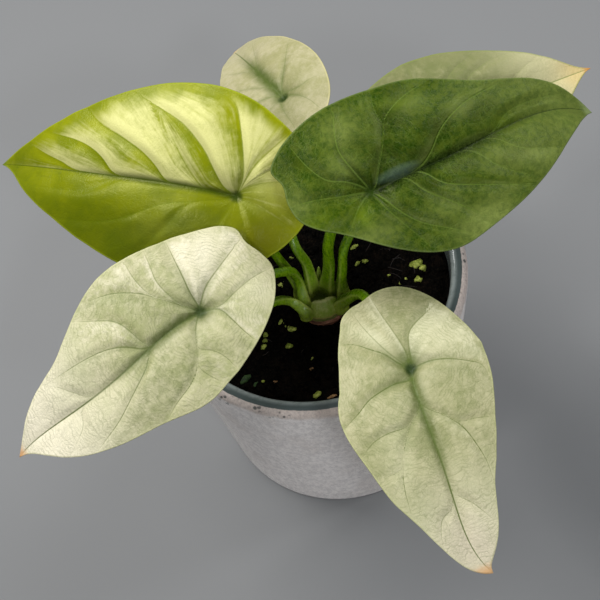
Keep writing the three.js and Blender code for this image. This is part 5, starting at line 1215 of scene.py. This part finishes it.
def build_litter(soil):
    rng = np.random.RandomState(4)
    spots = []
    while len(spots) < 1500:
        a, r = rng.uniform(0, 2 * math.pi), 57.0 * math.sqrt(rng.uniform(0, 1))
        x, y = r * math.cos(a), r * math.sin(a)
        if math.hypot(x - CROWN[0], y - CROWN[1]) < 12.4:
            continue
        size = 0.45 + 1.5 * rng.uniform(0, 1) ** 3.2
        spots.append((x, y, rng.uniform(0.5, 1.1), size * rng.uniform(0.8, 1.5), size * rng.uniform(0.6, 1.0), size * rng.uniform(0.45, 0.8), rng.uniform(0, 3.1)))
    place(lumps("soil_granules", spots, 1, soil, 61, 0.45), "potting_soil")
    for name, table, colours, level in (
        ("soil_flecks", FLECKS, ((110, 124, 24), (176, 184, 84), 0.6), 2),
        ("soil_bark_bits", TAN, ((112, 78, 46), (176, 136, 88), 0.7), 2),
        ("soil_moss_bits", GREEN, ((22, 44, 12), (48, 78, 22), 0.7), 2),
    ):
        spots = [(x, y, 0.62, 0.82 * a, 0.74 * b, 0.5 * b, turn) for x, y, a, b, turn in table]
        place(lumps(name, spots, level, fleck_material(name + "_skin", *colours), 83, 0.62), "potting_soil")
    # Thin reddish-brown fibres that lie over the soil.
    verts, quads, tris = [], [], []
    sides, rings = 5, 10
    for n in range(60):
        a, r = rng.uniform(0, 2 * math.pi), 55.5 * math.sqrt(rng.uniform(0, 1))
        x, y = r * math.cos(a), r * math.sin(a)
        if n % 3 == 0:
            x, y = 40 + rng.normal(0, 9), 4 + rng.normal(0, 12)
        if math.hypot(x, y) > 54 or math.hypot(x - CROWN[0], y - CROWN[1]) < 15:
            continue
        turn, bend, length = rng.uniform(0, 2 * math.pi), rng.normal(0, 0.10), rng.uniform(3.0, 9.0)
        s = np.linspace(0, 1, rings) * length
        ang = turn + bend * s
        px = x + np.cumsum(np.cos(ang)) * length / rings
        py = y + np.cumsum(np.sin(ang)) * length / rings
        inside = np.hypot(px, py) < 57.0
        if not inside.all():
            continue
        thick = rng.uniform(0.10, 0.24)
        pz = soil_height(px, py)
        pz = np.convolve(np.pad(pz, 2, mode="edge"), np.ones(5) / 5, "valid") + thick * 1.2 + 0.25 * np.sin(s / length * math.pi)
        path = np.stack([px, py, pz], 1)
        tangent, side, other = transport(path, (0, 0, 1))
        w = thick * np.sqrt(np.clip(1 - (2 * np.linspace(0, 1, rings) - 1) ** 6, 0.05, 1))
        phi = np.arange(sides) / sides * 2 * math.pi
        p = path[:, None] + w[:, None, None] * (np.cos(phi)[None, :, None] * side[:, None] + np.sin(phi)[None, :, None] * other[:, None])
        start = sum(len(v) for v in verts)
        verts.append(np.vstack([p.reshape(-1, 3), path[:1], path[-1:]]))
        quads.append(ring_quads(rings, sides, start))
        i = np.arange(sides)
        k = (i + 1) % sides
        c, last = start + rings * sides, start + (rings - 1) * sides
        tris.append(np.vstack([np.stack([np.full(sides, c), start + k, start + i], 1), np.stack([np.full(sides, c + 1), last + i, last + k], 1)]))
    verts = np.vstack(verts)
    fibre = fleck_material("soil_fibre_skin", (10, 7, 5), (38, 23, 15), 0.7)
    place(mesh_object("soil_fibres", verts, np.vstack(quads), np.vstack(tris), fibre, {"tint": (noise3(verts, 9.0, 3) * 0.5 + 0.5)}), "potting_soil")


# ---------------------------------------------------------------- pot

POT_PROFILE = [
    (0, 0), (54.4, 0), (56.1, 0.5), (57.2, 1.7), (57.8, 3.8), (60.2, 38), (63, 74), (65.4, 103), (66.3, 114.5), (66.5, 118.2), (66.2, 119.9),
    (65.3, 121.3), (64, 122.1), (62.2, 122.3), (60.7, 122), (59.8, 121.1), (59.3, 119), (58.9, 114), (57.6, 90), (52.6, 12), (51, 7.6), (47.5, 5), (0, 5),
]


def pot_material(runs):
    g = Nodes("stoneware_skin")
    run = g.attribute("run")
    p = g.mm()
    x, y, z = g.split(p)
    tall = g.join(x, y, g.mul(z, 0.66))
    cloud = g.noise(tall, 0.055, 5.0, 0.62)
    patch = g.noise(tall, 0.40, 6.0, 0.74)
    speck = g.noise(tall, 1.1, 4.0, 0.74)
    grit = g.noise(p, 5.0, 2.0, 0.5)
    body = g.mix(g.step(patch, 0.38, 0.62), srgb(220, 214, 212), srgb(246, 240, 237))
    body = g.mix(g.mul(g.step(cloud, 0.45, 0.68), 0.30), body, srgb(202, 190, 182))
    body = g.mix(g.mul(g.step(speck, 0.52, 0.68), 0.42), body, srgb(176, 169, 168))
    body = g.mix(g.mul(g.step(speck, 0.46, 0.32), 0.25), body, srgb(250, 248, 246))
    rust = g.mul(g.step(g.noise(p, 0.7, 3.0, 0.6), 0.62, 0.74), g.step(z, 96.0, 119.0))
    body = g.mix(g.mul(rust, 0.5), body, srgb(150, 116, 96))
    # The bare band under the rim, tan with small dark pits.
    wob = g.line(g.noise(p, 0.22, 3.0), 0.3, 0.7, -0.5, 0.5)
    at = g.add(run, wob)
    tan = g.mix(g.step(speck, 0.4, 0.65), srgb(190, 172, 160), srgb(160, 142, 134))
    pits = g.cells(p, 0.42, "F1", 1.0)
    pit = g.mul(g.step(pits, 0.42, 0.24), g.mul(g.step(g.noise(p, 0.11, 2.0), 0.50, 0.60), g.step(run, runs["pit_low"], runs["pit_low"] + 1.5)))
    band = g.step(at, runs["band"] - 1.2, runs["band"] + 1.6)
    colour = g.mix(g.mul(band, 0.70), body, tan)
    colour = g.mix(g.mul(pit, 0.85), colour, srgb(56, 66, 62))
    glaze_edge = g.add(run, g.line(g.noise(p, 0.5, 2.0), 0.3, 0.7, -0.12, 0.12))
    glaze = g.step(glaze_edge, runs["glaze"] - 0.15, runs["glaze"] + 0.20)
    # The glaze: dark outside, a pale band at the rim's inner edge that is a painted highlight, then mid grey down the
    # inner wall.
    inner = g.step(run, runs["crest"] - 0.6, runs["crest"] + 1.6)
    glaze_with_painted_highlight = g.mix(inner, srgb(78, 88, 88), srgb(146, 154, 152))
    glaze_with_painted_highlight = g.mix(g.step(run, runs["lip"] + 0.2, runs["lip"] + 3.0), glaze_with_painted_highlight, srgb(104, 112, 110))
    glaze_with_painted_highlight = g.mix(g.mul(g.step(patch, 0.45, 0.62), 0.30), glaze_with_painted_highlight, srgb(70, 80, 78))
    glaze_with_painted_highlight = g.mix(g.mul(g.step(grit, 0.62, 0.74), 0.20), glaze_with_painted_highlight, srgb(132, 140, 140))
    colour = g.mix(glaze, colour, glaze_with_painted_highlight)
    g.set("Base Color", colour)
    matt = g.line(patch, 0.3, 0.7, 0.66, 0.84)
    shine = g.line(speck, 0.3, 0.7, 0.07, 0.12)
    g.set("Roughness", g.add(g.mul(matt, g.math("SUBTRACT", 1.0, glaze)), g.mul(shine, glaze)))
    bare = g.math("SUBTRACT", 1.0, glaze)
    height = g.mul(g.add(g.mul(speck, 1.0), g.add(g.mul(grit, 0.35), g.mul(pit, -1.6))), bare)
    height = g.add(height, g.mul(g.noise(p, 0.35, 2.0), g.mul(glaze, 0.25)))
    g.set("Normal", g.bump(height, 0.16, 0.8))
    return g.material


def build_pot():
    raw = np.array(POT_PROFILE, float)
    # Closer points along the same section: curved at the rim and foot, straight along the walls.
    parts = [raw[:2]]
    parts.append(catmull(raw[1:6], 28)[1:])
    parts.append(catmull(raw[5:10], 40)[1:])
    parts.append(catmull(raw[9:18], 72)[1:])
    parts.append(catmull(raw[17:22], 26)[1:])
    parts.append(np.array([(30.0, 5.0), (0.0, 5.0)]))
    profile = np.vstack(parts)
    profile[:, 1] = np.maximum(profile[:, 1], 0)
    steps = np.linalg.norm(np.diff(profile, axis=0), axis=1)
    run = np.concatenate([[0], np.cumsum(steps)])

    def run_at(r, z):
        return float(run[np.argmin(np.hypot(profile[:, 0] - r, profile[:, 1] - z))])

    runs = {
        "band": run_at(66.5, 118.2), "pit_low": run_at(66.3, 114.5), "glaze": run_at(64.1, 122.05), "crest": run_at(62.2, 122.3), "lip": run_at(59.8, 121.1),
    }

    def wobble(q):
        a = np.arctan2(q[:, 1], q[:, 0])
        r = np.hypot(q[:, 0], q[:, 1])
        ring = np.stack([60 * np.cos(a), 60 * np.sin(a), q[:, 2]], 1)
        d = 0.10 * noise3(ring, 22.0, 91) * smooth(q[:, 2], 3, 20)
        d = d + 0.045 * fbm(ring, 3.0, 3, 92) * smooth(q[:, 2], 3, 10) * smooth(r, 57, 60)
        out = q.copy()
        grow = 1 + np.where(r > 1, (d - 0.12 * smooth(q[:, 2], 3, 20)) / np.maximum(r, 1), 0)
        out[:, 0] *= grow
        out[:, 1] *= grow
        return out

    ob = lathe("pot_stoneware", profile, 288, pot_material(runs), {"run": run}, wobble)
    place(ob, "stoneware", "pot")


# ---------------------------------------------------------------- building it

for order, blade in enumerate(LEAVES):
    build_blade(blade, 100 + 10 * order)
stalks = stalk_material()
for order, stalk in enumerate(PETIOLES):
    build_stalk(stalk, stalks, 200 + order)
build_sheaths(sheath_material())
build_rhizome()
earth = soil_material()
build_soil(earth)
build_litter(earth)
build_pot()

# ---------------------------------------------------------------- floor, lights and camera

floor_mesh = bpy.data.meshes.new("floor")
floor_mesh.from_pydata([(-4, -4, 0), (4, -4, 0), (4, 4, 0), (-4, 4, 0)], [], [(0, 1, 2, 3)])
floor = bpy.data.objects.new("floor", floor_mesh)
scene.collection.objects.link(floor)
pale = Nodes("floor_paint")
pale.shader.inputs["Base Color"].default_value = srgb(123, 124, 125)
pale.shader.inputs["Roughness"].default_value = 0.85
pale.shader.inputs["Specular IOR Level"].default_value = 0.2
floor_mesh.materials.append(pale.material)

world = bpy.data.worlds.new("studio")
world.use_nodes = True
world.node_tree.nodes["Background"].inputs[0].default_value = (0.94, 0.97, 1.0, 1)
world.node_tree.nodes["Background"].inputs[1].default_value = 0.21
scene.world = world


def softbox(name, azimuth, elevation, distance, width, height, power, colour):
    """An area light that looks at the plant. Azimuth 0 is in front, 90 to the right."""
    data = bpy.data.lights.new(name, "AREA")
    data.shape, data.size, data.size_y, data.energy, data.color = "RECTANGLE", width, height, power, colour
    ob = bpy.data.objects.new(name, data)
    scene.collection.objects.link(ob)
    a, e = math.radians(azimuth), math.radians(elevation)
    back = np.array([math.sin(a) * math.cos(e), -math.cos(a) * math.cos(e), math.sin(e)])
    side = unit(np.cross((0, 0, 1), back))
    up = np.cross(back, side)
    m = Matrix.Identity(4)
    for r in range(3):
        m[r][0], m[r][1], m[r][2], m[r][3] = side[r], up[r], back[r], back[r] * distance + (0, 0, 0.14)[r]
    ob.matrix_world = m
    return ob


softbox("softbox_back_left", -132, 56, 0.95, 0.50, 0.45, 9.2, (1.0, 0.99, 0.97))
softbox("softbox_back_right", 118, 50, 1.2, 0.40, 0.40, 5.0, (0.98, 0.99, 1.0))
softbox("softbox_left", -62, 59, 1.3, 0.18, 0.18, 3.8, (1.0, 0.99, 0.97))
softbox("softbox_right", 92, 34, 1.3, 0.18, 0.18, 2.6, (0.98, 0.99, 1.0))
softbox("softbox_front", 14, 46, 1.3, 0.15, 0.12, 3.6, (0.92, 0.96, 1.0))
softbox("softbox_low", -8, 12, 1.6, 0.50, 0.25, 1.25, (1.0, 0.99, 0.97))

camera_data = bpy.data.cameras.new("camera")
camera_data.sensor_width = 36.0
camera_data.lens = 36.0 * 1226.0 / 600.0
camera_data.clip_start, camera_data.clip_end = 0.01, 20.0
camera = bpy.data.objects.new("camera", camera_data)
scene.collection.objects.link(camera)
right = np.array([0.9641, -0.2300, -0.1328])
upward = np.array([0.2656, 0.8349, 0.4821])
ahead = np.array([0.0, 0.5, -0.8660254])
ahead = unit(ahead)
right = unit(right - (right @ ahead) * ahead)
upward = np.cross(right, ahead)
sight = unit(ahead + (309.9 - 300) / 1226 * right + (300 - 271.7) / 1226 * upward)
position = (np.array([0.0, 0.0, 122.3]) - 520.0 * sight) * MM
m = Matrix.Identity(4)
for r in range(3):
    m[r][0], m[r][1], m[r][2], m[r][3] = right[r], upward[r], -ahead[r], position[r]
camera.matrix_world = m
scene.camera = camera
